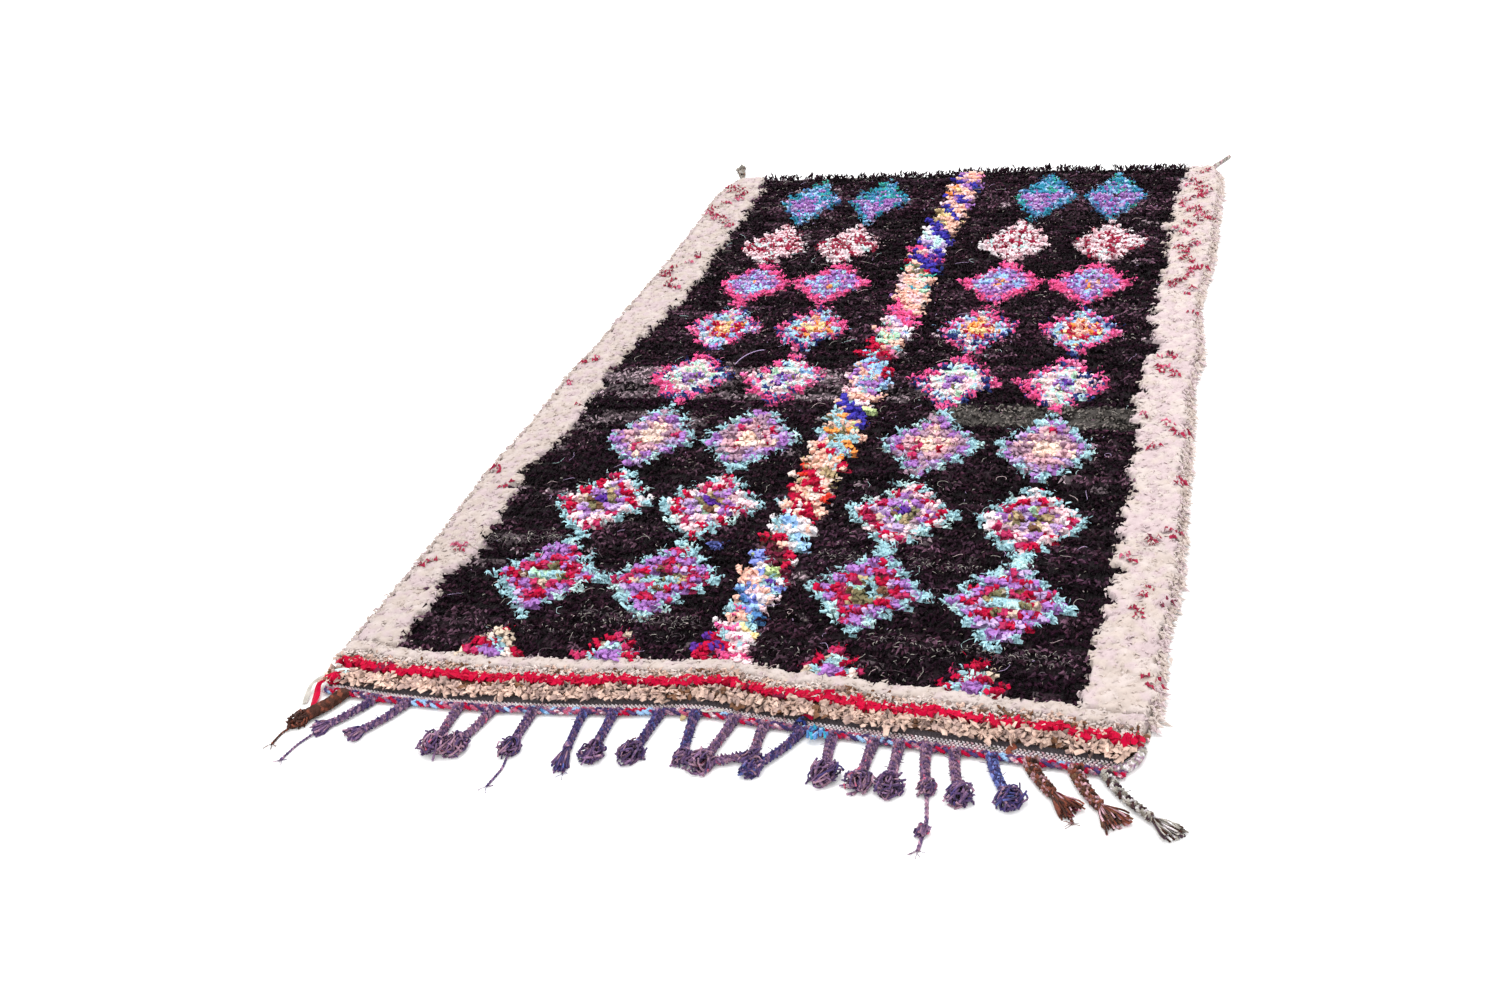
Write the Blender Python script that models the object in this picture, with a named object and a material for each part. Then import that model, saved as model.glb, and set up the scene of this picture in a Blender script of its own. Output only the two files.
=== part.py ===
# Boucherouite rug: a shaggy rag-pile rug lying flat on the floor.
# Metres, +Z up. The origin is the middle of the rug's underside, +Y runs along the
# rug to its far end, and the plaited warp ends lie at its near end, towards -Y.
#
# Four pieces: the rug itself (foundation, flat-woven end and rag pile in one cloth),
# the twined edge with its plaited tassels, and a tie at each far corner.

import math

import bmesh
import bpy
import numpy as np
from mathutils import Vector

# The rug's cloth
FOUNDATION = 0.003        # thickness of the woven foundation
PILE_HEIGHT = 0.019       # from the floor to the top of the leaning tufts
LUMP = 0.003              # how far tufts stand above or below that height
ROW_RELIEF = 0.0015       # ridge of a pile row over the furrow beside it
EDGE_INSET = 0.012        # where the pile's underside meets the foundation
FOUNDATION_INSET = 0.010  # foundation's edge inside the tips of the rim locks
SHOULDER_INSET = 0.024    # where the pile's top starts to fall towards the rim
SHOULDER = 0.82           # height of that shoulder, as a share of the pile's
LOCK_LIFT = 0.006         # height of a rim lock's tip
NOTCH_LIFT = 0.0102       # height of the notch between two rim locks
LOCK_DEPTH = 0.012        # how far a rim lock stands out between its neighbours
FLAT_END = 0.011          # flat-woven strip that shows past the near pile
COLUMNS, ROWS = 36, 60    # faces of the pile's top, across and along
RIM_LAYERS = 4            # rings of faces from the pile's top down to the floor
LUMP_SEED = 11

# The twined edge
GAP = 0.0003              # between pieces that touch
BAND_FLAT = 0.009         # flat part of the twined edge
BAND_CORD = 0.013         # plaited cord along the twined edge
BAND_THIN = 0.004         # thickness of its flat part
BAND_THICK = 0.009        # thickness of its cord
PLY_RELIEF = 0.0012       # rise and fall of the cord's plies
BAND_STEPS = COLUMNS * 2  # plies shown along the twined edge
CORD_ROOT = 0.45          # where strands start, as a share of the cord's width

# Outline, as far as the tips of the pile reach: place along the rug, left and right edge
SIDES = (
    (-1.12, -0.670, 0.655),
    (-1.03, -0.678, 0.668),
    (-0.80, -0.676, 0.667),
    (-0.66, -0.676, 0.676),
    (-0.45, -0.684, 0.668),
    (-0.20, -0.676, 0.661),
    (0.00, -0.681, 0.653),
    (0.12, -0.673, 0.661),
    (0.35, -0.669, 0.643),
    (0.60, -0.665, 0.656),
    (0.90, -0.669, 0.653),
    (1.06, -0.676, 0.652),
    (1.15, -0.655, 0.636),
)

# Outline of the two ends: place across the rug, near and far edge
ENDS = (
    (-0.68, -1.113, 1.138),
    (-0.50, -1.126, 1.140),
    (-0.30, -1.119, 1.137),
    (-0.10, -1.098, 1.141),
    (-0.01, -1.087, 1.152),
    (0.09, -1.098, 1.160),
    (0.25, -1.110, 1.162),
    (0.45, -1.122, 1.150),
    (0.68, -1.138, 1.152),
)

# Tassels of the near end: where each starts across the rug, how far its head lies to
# the side and out from the twined edge, half the head's width, and the thin tail past
# the head: its length and its own drift to the side
TASSELS = (
    # start, aside, out, head, tail, tail_aside
    (-0.618, -0.025, 0.078, 0.015, 0.048, -0.008),
    (-0.552, -0.046, 0.088, 0.013, 0.078, -0.030),
    (-0.486, -0.048, 0.090, 0.014, 0.000, 0.000),
    (-0.397, -0.002, 0.082, 0.021, 0.000, 0.000),
    (-0.342, -0.016, 0.086, 0.021, 0.000, 0.000),
    (-0.271, 0.000, 0.076, 0.016, 0.080, 0.003),
    (-0.187, 0.014, 0.092, 0.010, 0.030, 0.008),
    (-0.140, 0.007, 0.092, 0.016, 0.000, 0.000),
    (-0.064, -0.008, 0.096, 0.018, 0.000, 0.000),
    (-0.009, 0.011, 0.094, 0.013, 0.000, 0.000),
    (0.056, -0.010, 0.104, 0.019, 0.000, 0.000),
    (0.104, -0.014, 0.080, 0.012, 0.000, 0.000),
    (0.163, -0.040, 0.092, 0.014, 0.000, 0.000),
    (0.213, 0.013, 0.072, 0.020, 0.000, 0.000),
    (0.276, -0.002, 0.080, 0.016, 0.000, 0.000),
    (0.317, 0.002, 0.086, 0.015, 0.000, 0.000),
    (0.355, 0.014, 0.078, 0.010, 0.110, 0.016),
    (0.400, 0.016, 0.084, 0.018, 0.000, 0.000),
    (0.456, 0.029, 0.076, 0.018, 0.000, 0.000),
    (0.505, 0.048, 0.070, 0.014, 0.026, 0.020),
    (0.571, 0.054, 0.090, 0.014, 0.000, 0.000),
    (0.617, 0.074, 0.096, 0.013, 0.000, 0.000),
)

# Loose rag ends knotted into the twined edge: start, how far each runs aside and out,
# and half its width
LOOSE_ENDS = (
    # start, aside, out, half_width
    (-0.640, -0.024, 0.040, 0.0035),
    (-0.632, -0.010, 0.046, 0.0040),
    (0.187, 0.001, 0.026, 0.0080),
)

# Ties of the far corners: where each starts across the rug, how far its head lies to
# the side and out from the rug's end, half the head's width, and the head's length
CORNER_TIES = {
    # name: (start, aside, out, head, head_length)
    "corner_tie_left": (-0.640, -0.022, 0.072, 0.013, 0.052),
    "corner_tie_right": (0.620, 0.026, 0.048, 0.006, 0.024),
}

# Strands and heads
STRAND_BOW = 1.5          # how late along its length a strand turns aside
STRAND_CROWN = 0.62       # width of a strand's top, as a share of its width on the floor
SETTLE = 0.0003           # step in height that keeps fused undersides from coinciding
HEAD_LENGTH = 0.030       # a tassel's head, from its knot to its cut end
HEAD_HEIGHT = 0.016       # height of a head at its knot
LOCK_SPREAD = math.radians(30)  # angle between one lock of a head and the next
LOCKS = (-1, 0, 1)        # locks that fan out of each head, in spreads from its middle
OUTER_LOCK = 0.94         # length of an outer lock, as a share of the middle one's
TAIL_ROOT = 0.5           # where a tail leaves its head, as a share of the head's length

# Half the width and the height of a strand, at even steps from its root to its end
PLAIT_SIZES = ((0.0088, 0.011), (0.0065, 0.011), (0.0065, 0.012), (0.0065, 0.012), (0.0052, 0.010))
TAIL_SIZES = ((0.0024, 0.0035),) * 4
TIE_SIZES = ((0.004, 0.0026), (0.004, 0.003), (0.004, 0.006), (0.004, 0.007))
RAG_HEIGHTS = (0.005, 0.004, 0.003)

# Sections of a head, all as shares: place along it, half width, height
LOCK_SECTIONS = ((-0.10, 0.30, 0.55), (0.55, 0.44, 0.70), (1.00, 0.24, 0.30))
# The same for its knot, with each section's lift from the floor in settling steps
KNOT_SECTIONS = ((-0.35, 0.45, 0.60, 4), (0.05, 0.72, 1.00, 0), (0.45, 0.55, 0.80, 4))

ROSE_TWINE = (0.42, 0.20, 0.30, 1)
CHARCOAL = (0.012, 0.010, 0.013, 1)
DRAB = (0.24, 0.20, 0.17, 1)


def clear_scene():
    for existing in list(bpy.data.objects):
        bpy.data.objects.remove(existing)


def cloth_material(name, colour):
    material = bpy.data.materials.new(name)
    material.use_nodes = True
    shader = material.node_tree.nodes["Principled BSDF"]
    shader.inputs["Base Color"].default_value = colour
    shader.inputs["Roughness"].default_value = 0.95
    shader.inputs["Metallic"].default_value = 0.0
    return material


def through(stations, column, place):
    """Smooth value of one column of a table at a place along it."""
    places = [row[0] for row in stations]
    values = [row[column] for row in stations]
    place = min(max(place, places[0]), places[-1])
    last = len(places) - 2
    k = min(last, max(0, int(np.searchsorted(places, place)) - 1))

    def slope(i):
        low, high = max(i - 1, 0), min(i + 1, len(places) - 1)
        return (values[high] - values[low]) / (places[high] - places[low])

    span = places[k + 1] - places[k]
    t = (place - places[k]) / span
    return (
        values[k] * (1 + 2 * t) * (1 - t) ** 2
        + slope(k) * span * t * (1 - t) ** 2
        + values[k + 1] * t * t * (3 - 2 * t)
        + slope(k + 1) * span * t * t * (t - 1)
    )


def near_edge(x):
    return through(ENDS, 1, x)


def far_edge(x):
    return through(ENDS, 2, x)


def on_rug(across, along, inset):
    """Plan position for shares across and along the rug, held inside the tips' outline."""
    y = near_edge(0) + (far_edge(0) - near_edge(0)) * along
    left, right = through(SIDES, 1, y) + inset, through(SIDES, 2, y) - inset
    x = left + (right - left) * across
    near, far = near_edge(x) + inset, far_edge(x) - inset
    return x, near + (far - near) * along


def finished(name, bm, material):
    """A sub-part's object, its faces turned outwards."""
    bmesh.ops.recalc_face_normals(bm, faces=bm.faces)
    mesh = bpy.data.meshes.new(name)
    bm.to_mesh(mesh)
    bm.free()
    made = bpy.data.objects.new(name, mesh)
    bpy.context.scene.collection.objects.link(made)
    mesh.materials.append(material)
    return made


def fused(name, body, limbs, material):
    """A body with its limbs joined on as one solid. The limbs may overlap one another."""
    made = finished(name, body, material)
    limbs_object = finished(name + "_limbs", limbs, material)
    limbs_object.hide_render = True
    limbs_object.display_type = "WIRE"
    union = made.modifiers.new("limbs", "BOOLEAN")
    union.operation = "UNION"
    union.object = limbs_object
    union.use_self = True
    return made


def loft(bm, rings):
    """One closed body through rings of points that all run the same way round."""
    loops = [[bm.verts.new(point) for point in ring] for ring in rings]
    for before, after in zip(loops, loops[1:]):
        for k in range(len(before)):
            n = (k + 1) % len(before)
            bm.faces.new((before[k], before[n], after[n], after[k]))
    bm.faces.new(loops[0])
    bm.faces.new(loops[-1])


def foundation_rim(across, along):
    """Plan place on the foundation's own edge, which runs on past the near pile."""
    x, y = on_rug(across, along, FOUNDATION_INSET)
    if along == 0:
        y = near_edge(x) - FLAT_END
    return x, y


def rim_place(layer, across, along, is_tip):
    """Place of a point of the slab's rim, layer by layer from its shoulder downwards."""
    if layer == 0:
        return (*on_rug(across, along, SHOULDER_INSET), PILE_HEIGHT * SHOULDER)
    if layer == 1 and is_tip:
        return (*on_rug(across, along, 0), LOCK_LIFT)
    if layer == 1:
        return (*on_rug(across, along, LOCK_DEPTH), NOTCH_LIFT)
    if layer == 2:
        return (*on_rug(across, along, EDGE_INSET), FOUNDATION)
    height = FOUNDATION if layer == 3 else 0.0
    return (*foundation_rim(across, along), height)


def rug_pile(material):
    """The rug: a lumpy slab of shag whose rim ends in locks, on its flat foundation."""
    # A flat grid holds the top, and each ring drawn down from its rim is one layer
    bm = bmesh.new()
    bmesh.ops.create_grid(bm, x_segments=COLUMNS, y_segments=ROWS, size=0.5)
    rim = [edge for edge in bm.edges if edge.is_boundary]
    for _ in range(RIM_LAYERS):
        rim = [
            part
            for part in bmesh.ops.extrude_edge_only(bm, edges=rim)["geom"]
            if isinstance(part, bmesh.types.BMEdge) and part.is_boundary
        ]
        ring = {vert for edge in rim for vert in edge.verts}
        bmesh.ops.translate(bm, verts=list(ring), vec=(0, 0, -1))
    bmesh.ops.edgeloop_fill(bm, edges=rim)

    # Every point then goes to its place on the rug
    rng = np.random.default_rng(LUMP_SEED)
    lumps = rng.uniform(-LUMP, LUMP, (COLUMNS + 1, ROWS + 1))
    for vert in bm.verts:
        column, row = round((vert.co.x + 0.5) * COLUMNS), round((vert.co.y + 0.5) * ROWS)
        across, along = column / COLUMNS, row / ROWS
        if column in (0, COLUMNS) or row in (0, ROWS):
            layer = round(-vert.co.z)
            vert.co = rim_place(layer, across, along, (column + row) % 2 == 1)
        else:
            ridge = ROW_RELIEF if row % 2 else -ROW_RELIEF
            top = PILE_HEIGHT + ridge + lumps[column, row]
            vert.co = (*on_rug(across, along, SHOULDER_INSET), top)
    return finished("rug_pile", bm, material)


def band_place(share):
    """Plan place on the inner line of the twined edge, which follows the flat end."""
    step = share * COLUMNS
    before = min(int(step), COLUMNS - 1)
    (x0, y0), (x1, y1) = (foundation_rim((before + k) / COLUMNS, 0) for k in (0, 1))
    t = step - before
    return x0 + (x1 - x0) * t, y0 + (y1 - y0) * t - GAP


def twined_band():
    """The twined edge: a thin flat part with a plaited cord along its outer side."""
    bm = bmesh.new()
    rings = []
    for k in range(BAND_STEPS + 1):
        x, y = band_place(k / BAND_STEPS)
        ply = PLY_RELIEF if k % 2 else -PLY_RELIEF
        section = (
            (0, 0),
            (0, BAND_THIN),
            (BAND_FLAT, BAND_THIN),
            (BAND_FLAT + BAND_CORD * 0.5, BAND_THICK + ply),
            (BAND_FLAT + BAND_CORD + ply, BAND_THICK * 0.45),
            (BAND_FLAT + BAND_CORD * 0.8, 0),
        )
        rings.append([(x, y - out, z) for out, z in section])
    loft(bm, rings)
    return bm


def cord_place(start):
    """Where a strand starts inside the plaited cord of the twined edge."""
    left, right = band_place(0)[0], band_place(1)[0]
    x, y = band_place((start - left) / (right - left))
    return x, y - BAND_FLAT - BAND_CORD * CORD_ROOT


def floor_ring(x, y, heading, half_width, height, lift):
    """Four corners of a strand that lies on the floor, flat below and narrower on top."""
    side = Vector((math.cos(heading), math.sin(heading), 0)) * half_width
    centre = Vector((x, y, lift))
    top = centre + Vector((0, 0, height))
    return [centre - side, centre + side, top + side * STRAND_CROWN, top - side * STRAND_CROWN]


def strand(bm, start, aside, out, sizes, lift):
    """A strand that bows aside as it runs out along the floor, a ring for each size."""
    rings = []
    last = len(sizes) - 1
    for k, (half_width, height) in enumerate(sizes):
        t = k / last
        x = start[0] + aside * t**STRAND_BOW
        y = start[1] + out * t
        heading = math.atan2(-aside * STRAND_BOW * t ** (STRAND_BOW - 1), out)
        step_lift = lift + SETTLE if k == 0 else lift
        rings.append(floor_ring(x, y, heading, half_width, height, step_lift))
    loft(bm, rings)


def head_ring(knot, heading, half_width, reach, share, wide, tall, lift):
    """One section of a head, at a share of its reach from the knot along its heading."""
    x = knot[0] - math.sin(heading) * reach * share
    y = knot[1] + math.cos(heading) * reach * share
    return floor_ring(x, y, heading, half_width * wide, HEAD_HEIGHT * tall, lift)


def head_locks(bm, knot, heading, half_width, length):
    """The cut ends of a tassel: locks that fan out of its knot."""
    for k, turn in enumerate(LOCKS):
        aim = heading + turn * LOCK_SPREAD
        reach = length * (OUTER_LOCK if turn else 1)
        rings = [
            head_ring(knot, aim, half_width, reach, *section, SETTLE * k)
            for section in LOCK_SECTIONS
        ]
        loft(bm, rings)


def knot_body(bm, knot, heading, half_width, length):
    """The knot that binds a tassel's plait to its cut ends."""
    rings = [
        head_ring(knot, heading, half_width, length, share, wide, tall, SETTLE * steps)
        for share, wide, tall, steps in KNOT_SECTIONS
    ]
    loft(bm, rings)


def near_tassel(bm, start, aside, out, head, tail, tail_aside):
    """One tassel of the near end: plaited cord, knot, cut locks and, on some, a tail."""
    x, y = cord_place(start)
    strand(bm, (x, y), aside, -out, PLAIT_SIZES, SETTLE)
    knot = (x + aside, y - out)
    heading = math.pi + math.atan2(aside, out)
    knot_body(bm, knot, heading, head, HEAD_LENGTH)
    head_locks(bm, knot, heading, head, HEAD_LENGTH)
    if tail:
        down = HEAD_LENGTH * TAIL_ROOT
        root = (knot[0] + aside / out * down, knot[1] - down)
        strand(bm, root, tail_aside, -tail, TAIL_SIZES, SETTLE * 2)


def fringe(material):
    """The twined edge with every tassel and loose rag end fused in at its root."""
    limbs = bmesh.new()
    for row in TASSELS:
        near_tassel(limbs, *row)
    for start, aside, out, half_width in LOOSE_ENDS:
        sizes = [(half_width, height) for height in RAG_HEIGHTS]
        strand(limbs, cord_place(start), aside, -out, sizes, SETTLE * 2)
    return fused("twined_fringe", twined_band(), limbs, material)


def corner_tie(name, start, aside, out, head, head_length, material):
    """A knotted tie of spare warp at a far corner, starting at the foundation's edge."""
    y = far_edge(start) - FOUNDATION_INSET + GAP * 2
    limbs = bmesh.new()
    strand(limbs, (start, y), aside, out, TIE_SIZES, SETTLE)
    heading = math.atan2(-aside, out)
    knot = (start + aside, y + out)
    head_locks(limbs, knot, heading, head, head_length)
    body = bmesh.new()
    knot_body(body, knot, heading, head, head_length)
    return fused(name, body, limbs, material)


def build():
    clear_scene()
    rug_pile(cloth_material("black rag pile", CHARCOAL))
    fringe(cloth_material("rose and purple twine", ROSE_TWINE))
    drab = cloth_material("drab warp", DRAB)
    for name, sizes in CORNER_TIES.items():
        corner_tie(name, *sizes, drab)


build()
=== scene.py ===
# Boucherouite rug laid flat: rag pile on a woven foundation, twined near edge, plaited tassels
import math
import bpy
import numpy as np
from mathutils import Matrix


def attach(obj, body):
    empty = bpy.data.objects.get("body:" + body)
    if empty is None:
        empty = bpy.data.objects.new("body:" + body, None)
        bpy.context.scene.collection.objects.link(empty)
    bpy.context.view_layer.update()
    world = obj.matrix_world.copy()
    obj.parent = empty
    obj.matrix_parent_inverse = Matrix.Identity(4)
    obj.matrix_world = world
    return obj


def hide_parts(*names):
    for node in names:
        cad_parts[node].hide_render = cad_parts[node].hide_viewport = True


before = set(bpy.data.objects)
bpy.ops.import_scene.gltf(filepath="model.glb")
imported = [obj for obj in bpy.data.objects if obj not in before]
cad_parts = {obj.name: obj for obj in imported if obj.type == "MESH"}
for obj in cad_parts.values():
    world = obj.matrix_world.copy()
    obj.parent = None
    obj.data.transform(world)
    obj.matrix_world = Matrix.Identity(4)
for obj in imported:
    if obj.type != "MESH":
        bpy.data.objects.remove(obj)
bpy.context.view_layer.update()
fullTurn = 2 * math.pi
print("frame loaded")

# camera, light and floor come first
view = dict(place=(0.818, -2.8265, 1.508), turn=21.868, tilt=-31.016, roll=-9.087, lens=37.49)


def addCamera():
    data = bpy.data.cameras.new("standingView")
    data.lens = view["lens"]
    data.sensor_width = 36
    eye = bpy.data.objects.new("standingView", data)
    bpy.context.scene.collection.objects.link(eye)
    turned = Matrix.Rotation(math.radians(view["turn"]), 4, "Z")
    tipped = Matrix.Rotation(math.radians(90 + view["tilt"]), 4, "X")
    rolled = Matrix.Rotation(math.radians(view["roll"]), 4, "Z")
    eye.matrix_world = Matrix.Translation(view["place"]) @ turned @ tipped @ rolled
    bpy.context.scene.camera = eye


light = dict(skyGlow=1.45, keyPower=125, keySize=3.2, keyPlace=(-0.2, 1.2, 4.9), floorTone=0.93)


def addLight():
    world = bpy.data.worlds.new("paleRoom")
    bpy.context.scene.world = world
    world.use_nodes = True
    world.node_tree.nodes["Background"].inputs["Color"].default_value = (1, 1, 1, 1)
    world.node_tree.nodes["Background"].inputs["Strength"].default_value = light["skyGlow"]
    lamp = bpy.data.lights.new("softKey", "AREA")
    lamp.energy = light["keyPower"]
    lamp.size = light["keySize"]
    key = bpy.data.objects.new("softKey", lamp)
    key.location = light["keyPlace"]
    key.rotation_euler = (-key.location).to_track_quat("-Z", "Y").to_euler()
    bpy.context.scene.collection.objects.link(key)
    bpy.context.scene.view_settings.view_transform = "Standard"


def addFloor():
    bpy.ops.mesh.primitive_plane_add(size=80)
    floor = bpy.context.object
    floor.name = "paleFloor"
    paint = bpy.data.materials.new("paleFloor")
    paint.use_nodes = True
    shader = paint.node_tree.nodes["Principled BSDF"]
    shader.inputs["Base Color"].default_value = (light["floorTone"],) * 3 + (1,)
    shader.inputs["Roughness"].default_value = 0.8
    shader.inputs["Specular IOR Level"].default_value = 0.1
    floor.data.materials.append(paint)


addCamera()
addLight()
addFloor()
print("camera, light and floor set")

# dyes, as they look in daylight
dyes = dict(
    ink="170812", soot="28151f", charcoal="432e3a", plum="2d1b27", ash="695b61", moss="4d4845",
    cream="e8d4cc", ivory="eeddd6", blush="e9cfd0", burgundy="a02444", rose="c8607e",
    white="efe6ea", hotPink="f4619f", pink="f493be", dustyPink="d6a9b4", palePink="f3d3da",
    violet="ad78c2", lilac="c4abd6", amethyst="5a2f95", navy="2c3a7a", cobalt="4238aa",
    blue="4f7eb4", sky="a6cdf4", periwinkle="8b99e4", teal="3a9cb8", seaGreen="45b49f",
    aqua="b0d9e2", frost="cdeceb", mint="c2ecce", peach="f2c3b2", orange="f79c50",
    yellow="f2dba0", lime="cbdda0", gold="b8a27c", olive="7d7656", brown="72503c",
    beige="d2bfac", crimson="bd0a3c", scarlet="ea402f", maroon="70203a", ochre="c9ac9e",
    slate="6c6368", rust="854939", bark="4b2f28", drab="8d857b", stone="b8b2aa",
    cherry="ba0434", raspberry="bb2e60", sand="a88e86", fleece="c7b8b0", snow="cec0bb",
    petal="c8b5b7", shell="f8dccb", heather="b08ea2", purple="58436c", mauve="806083",
    marl="a68094", indigo="43386d", bluebell="545d9c",
)


def linear(code):
    channel = np.array([int(code[k:k + 2], 16) for k in (0, 2, 4)]) / 255
    return np.where(channel > 0.04045, ((channel + 0.055) / 1.055) ** 2.4, channel / 12.92)


dyeNames = list(dyes)
dyeColours = np.array([linear(code) for code in dyes.values()])


def pick(mix, roll):
    # mix names dyes and their shares, roll holds numbers from 0 to 1
    index = np.array([dyeNames.index(name) for name in mix])
    share = np.cumsum(list(mix.values()))
    return index[np.searchsorted(share / share[-1], roll, side="right").clip(0, len(index) - 1)]


def patches(x, y, size, seed):
    # soft patches of about this size, from 0 to 1
    grid = np.random.default_rng(seed).random((64, 64))
    gx, gy = (x / size) % 63, (y / size) % 63
    i, j = gx.astype(int), gy.astype(int)
    u, v = gx - i, gy - j
    low = grid[j, i] * (1 - u) + grid[j, i + 1] * u
    high = grid[j + 1, i] * (1 - u) + grid[j + 1, i + 1] * u
    return low * (1 - v) + high * v


# the rug's outline, read from the CAD foundation
sole = dict(left=-0.635, right=0.61, near=-1.09, far=1.11, rim=0.010, flatEnd=0.011)


def soleLines():
    points = np.array([v.co[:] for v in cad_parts["rug_pile"].data.vertices])
    flat = np.unique(points[points[:, 2] < 0.0005][:, :2].round(5), axis=0)
    sides = [flat[flat[:, 0] < sole["left"]], flat[flat[:, 0] > sole["right"]]]
    ends = [flat[flat[:, 1] < sole["near"]], flat[flat[:, 1] > sole["far"]]]
    return [s[s[:, 1].argsort()] for s in sides] + [e[e[:, 0].argsort()] for e in ends]


leftLine, rightLine, nearLine, farLine = soleLines()


def leftEdge(y):
    return np.interp(y, leftLine[:, 1], leftLine[:, 0]) - sole["rim"]


def rightEdge(y):
    return np.interp(y, rightLine[:, 1], rightLine[:, 0]) + sole["rim"]


def soleNear(x):
    return np.interp(x, nearLine[:, 0], nearLine[:, 1])


def nearEdge(x):
    return soleNear(x) + sole["flatEnd"]


def farEdge(x):
    return np.interp(x, farLine[:, 0], farLine[:, 1]) + sole["rim"]


print("outline read:", len(leftLine), len(rightLine), len(nearLine), len(farLine))

# meshes from arrays


def sweep(path, width, thick, tint, across, sides=3, roll=None, rootPoint=False, tipPoint=False):
    # closed tubes along many paths at once: path is tubes x rings x 3, width and thick tubes x rings
    count, rings = path.shape[:2]
    along = np.gradient(path, axis=1)
    along /= np.linalg.norm(along, axis=2, keepdims=True) + 1e-12
    if across.ndim == 2:
        across = across[:, None, :]
    side = across - (across * along).sum(2, keepdims=True) * along
    side /= np.linalg.norm(side, axis=2, keepdims=True) + 1e-12
    up = np.cross(along, side)
    if roll is not None:
        c, s = np.cos(roll)[..., None], np.sin(roll)[..., None]
        side, up = side * c + up * s, up * c - side * s
    points, tints, maps, starts = [], [], [], []
    cells = math.ceil(math.sqrt(count))
    cell = np.stack([np.arange(count) % cells, np.arange(count) // cells], 1)
    for k in range(rings):
        pinched = (k == 0 and rootPoint) or (k == rings - 1 and tipPoint)
        starts.append(sum(p.shape[1] for p in points))
        spots = [None] if pinched else [fullTurn * (n / sides + 0.25) for n in range(sides)]
        ring = np.empty((count, len(spots), 3))
        spot = np.empty((count, len(spots), 2))
        for n, angle in enumerate(spots):
            ring[:, n] = path[:, k]
            if angle is not None:
                ring[:, n] += side[:, k] * (width[:, k] * math.cos(angle) / 2)[:, None]
                ring[:, n] += up[:, k] * (thick[:, k] * math.sin(angle) / 2)[:, None]
            place = (0.5 if pinched else (n + 0.3) / sides, (k + 0.3 + 0.2 * (n % 2)) / rings)
            spot[:, n] = (cell + place) / cells
        points.append(ring)
        maps.append(spot)
        tints.append(np.repeat(tint[:, k][:, None], len(spots), axis=1))
    faces = []
    for k in range(rings - 1):
        a, b = starts[k], starts[k + 1]
        for n in range(sides):
            m = (n + 1) % sides
            if k == 0 and rootPoint:
                faces.append((a, b + m, b + n))
            elif k == rings - 2 and tipPoint:
                faces.append((a + n, a + m, b))
            else:
                faces += [(a + n, a + m, b + m), (a + n, b + m, b + n)]
    if not rootPoint:
        faces += [(0, n + 1, n) for n in range(1, sides - 1)]
    if not tipPoint:
        faces += [(starts[-1], starts[-1] + n, starts[-1] + n + 1) for n in range(1, sides - 1)]
    points, tints, maps = (np.concatenate(part, axis=1) for part in (points, tints, maps))
    each = points.shape[1]
    faces = np.array(faces)[None] + (np.arange(count) * each)[:, None, None]
    return points.reshape(-1, 3), faces.reshape(-1, 3), tints.reshape(-1, 3), maps.reshape(-1, 2)


def joined(parts):
    # a part may carry a fifth entry, true where its rags are creased
    offset, faces = 0, []
    for part in parts:
        faces.append(part[1] + offset)
        offset += len(part[0])
    return [np.concatenate([p[k] for p in parts]) if k != 1 else np.concatenate(faces) for k in range(4)]


def creased(part):
    return (*part[:4], True)


triangles = {}


def addPiece(name, parts, material):
    points, faces, tints, maps = joined(parts)
    points[:, 2] = points[:, 2].clip(0.0002)  # yarns lie flat where they touch the floor
    mesh = bpy.data.meshes.new(name)
    mesh.vertices.add(len(points))
    mesh.vertices.foreach_set("co", points.astype(np.float32).ravel())
    mesh.loops.add(faces.size)
    mesh.loops.foreach_set("vertex_index", faces.astype(np.int32).ravel())
    mesh.polygons.add(len(faces))
    mesh.polygons.foreach_set("loop_start", np.arange(0, faces.size, 3, dtype=np.int32))
    mesh.update(calc_edges=True)
    soft = np.concatenate([np.full(len(part[1]), len(part) < 5) for part in parts])
    mesh.polygons.foreach_set("use_smooth", soft)
    colours = mesh.color_attributes.new("rag", "FLOAT_COLOR", "POINT")
    rgba = np.ones((len(points), 4), np.float32)
    rgba[:, :3] = tints.clip(0, 1)
    colours.data.foreach_set("color", rgba.ravel())
    layer = mesh.uv_layers.new(name="OFBake")  # one small cell for each strip
    layer.uv.foreach_set("vector", maps[faces.ravel()].astype(np.float32).ravel())
    mesh.materials.append(material)
    piece = bpy.data.objects.new(name, mesh)
    bpy.context.scene.collection.objects.link(piece)
    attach(piece, "root")
    triangles[name] = len(faces)
    return piece


# cloth and yarn
finish = dict(
    rag=dict(rough=0.95, sheen=0.08, grain=340, mottle=0.20, bump=0.40, depth=0.0014),
    fluff=dict(rough=1.0, sheen=0.20, grain=220, mottle=0.06, bump=0.22, depth=0.0016),
    wool=dict(rough=1.0, sheen=0.03, grain=700, mottle=0.50, bump=0.55, depth=0.0012),
    yarn=dict(rough=0.95, sheen=0.10, grain=900, mottle=0.50, bump=0.55, depth=0.0009),
)


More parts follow.
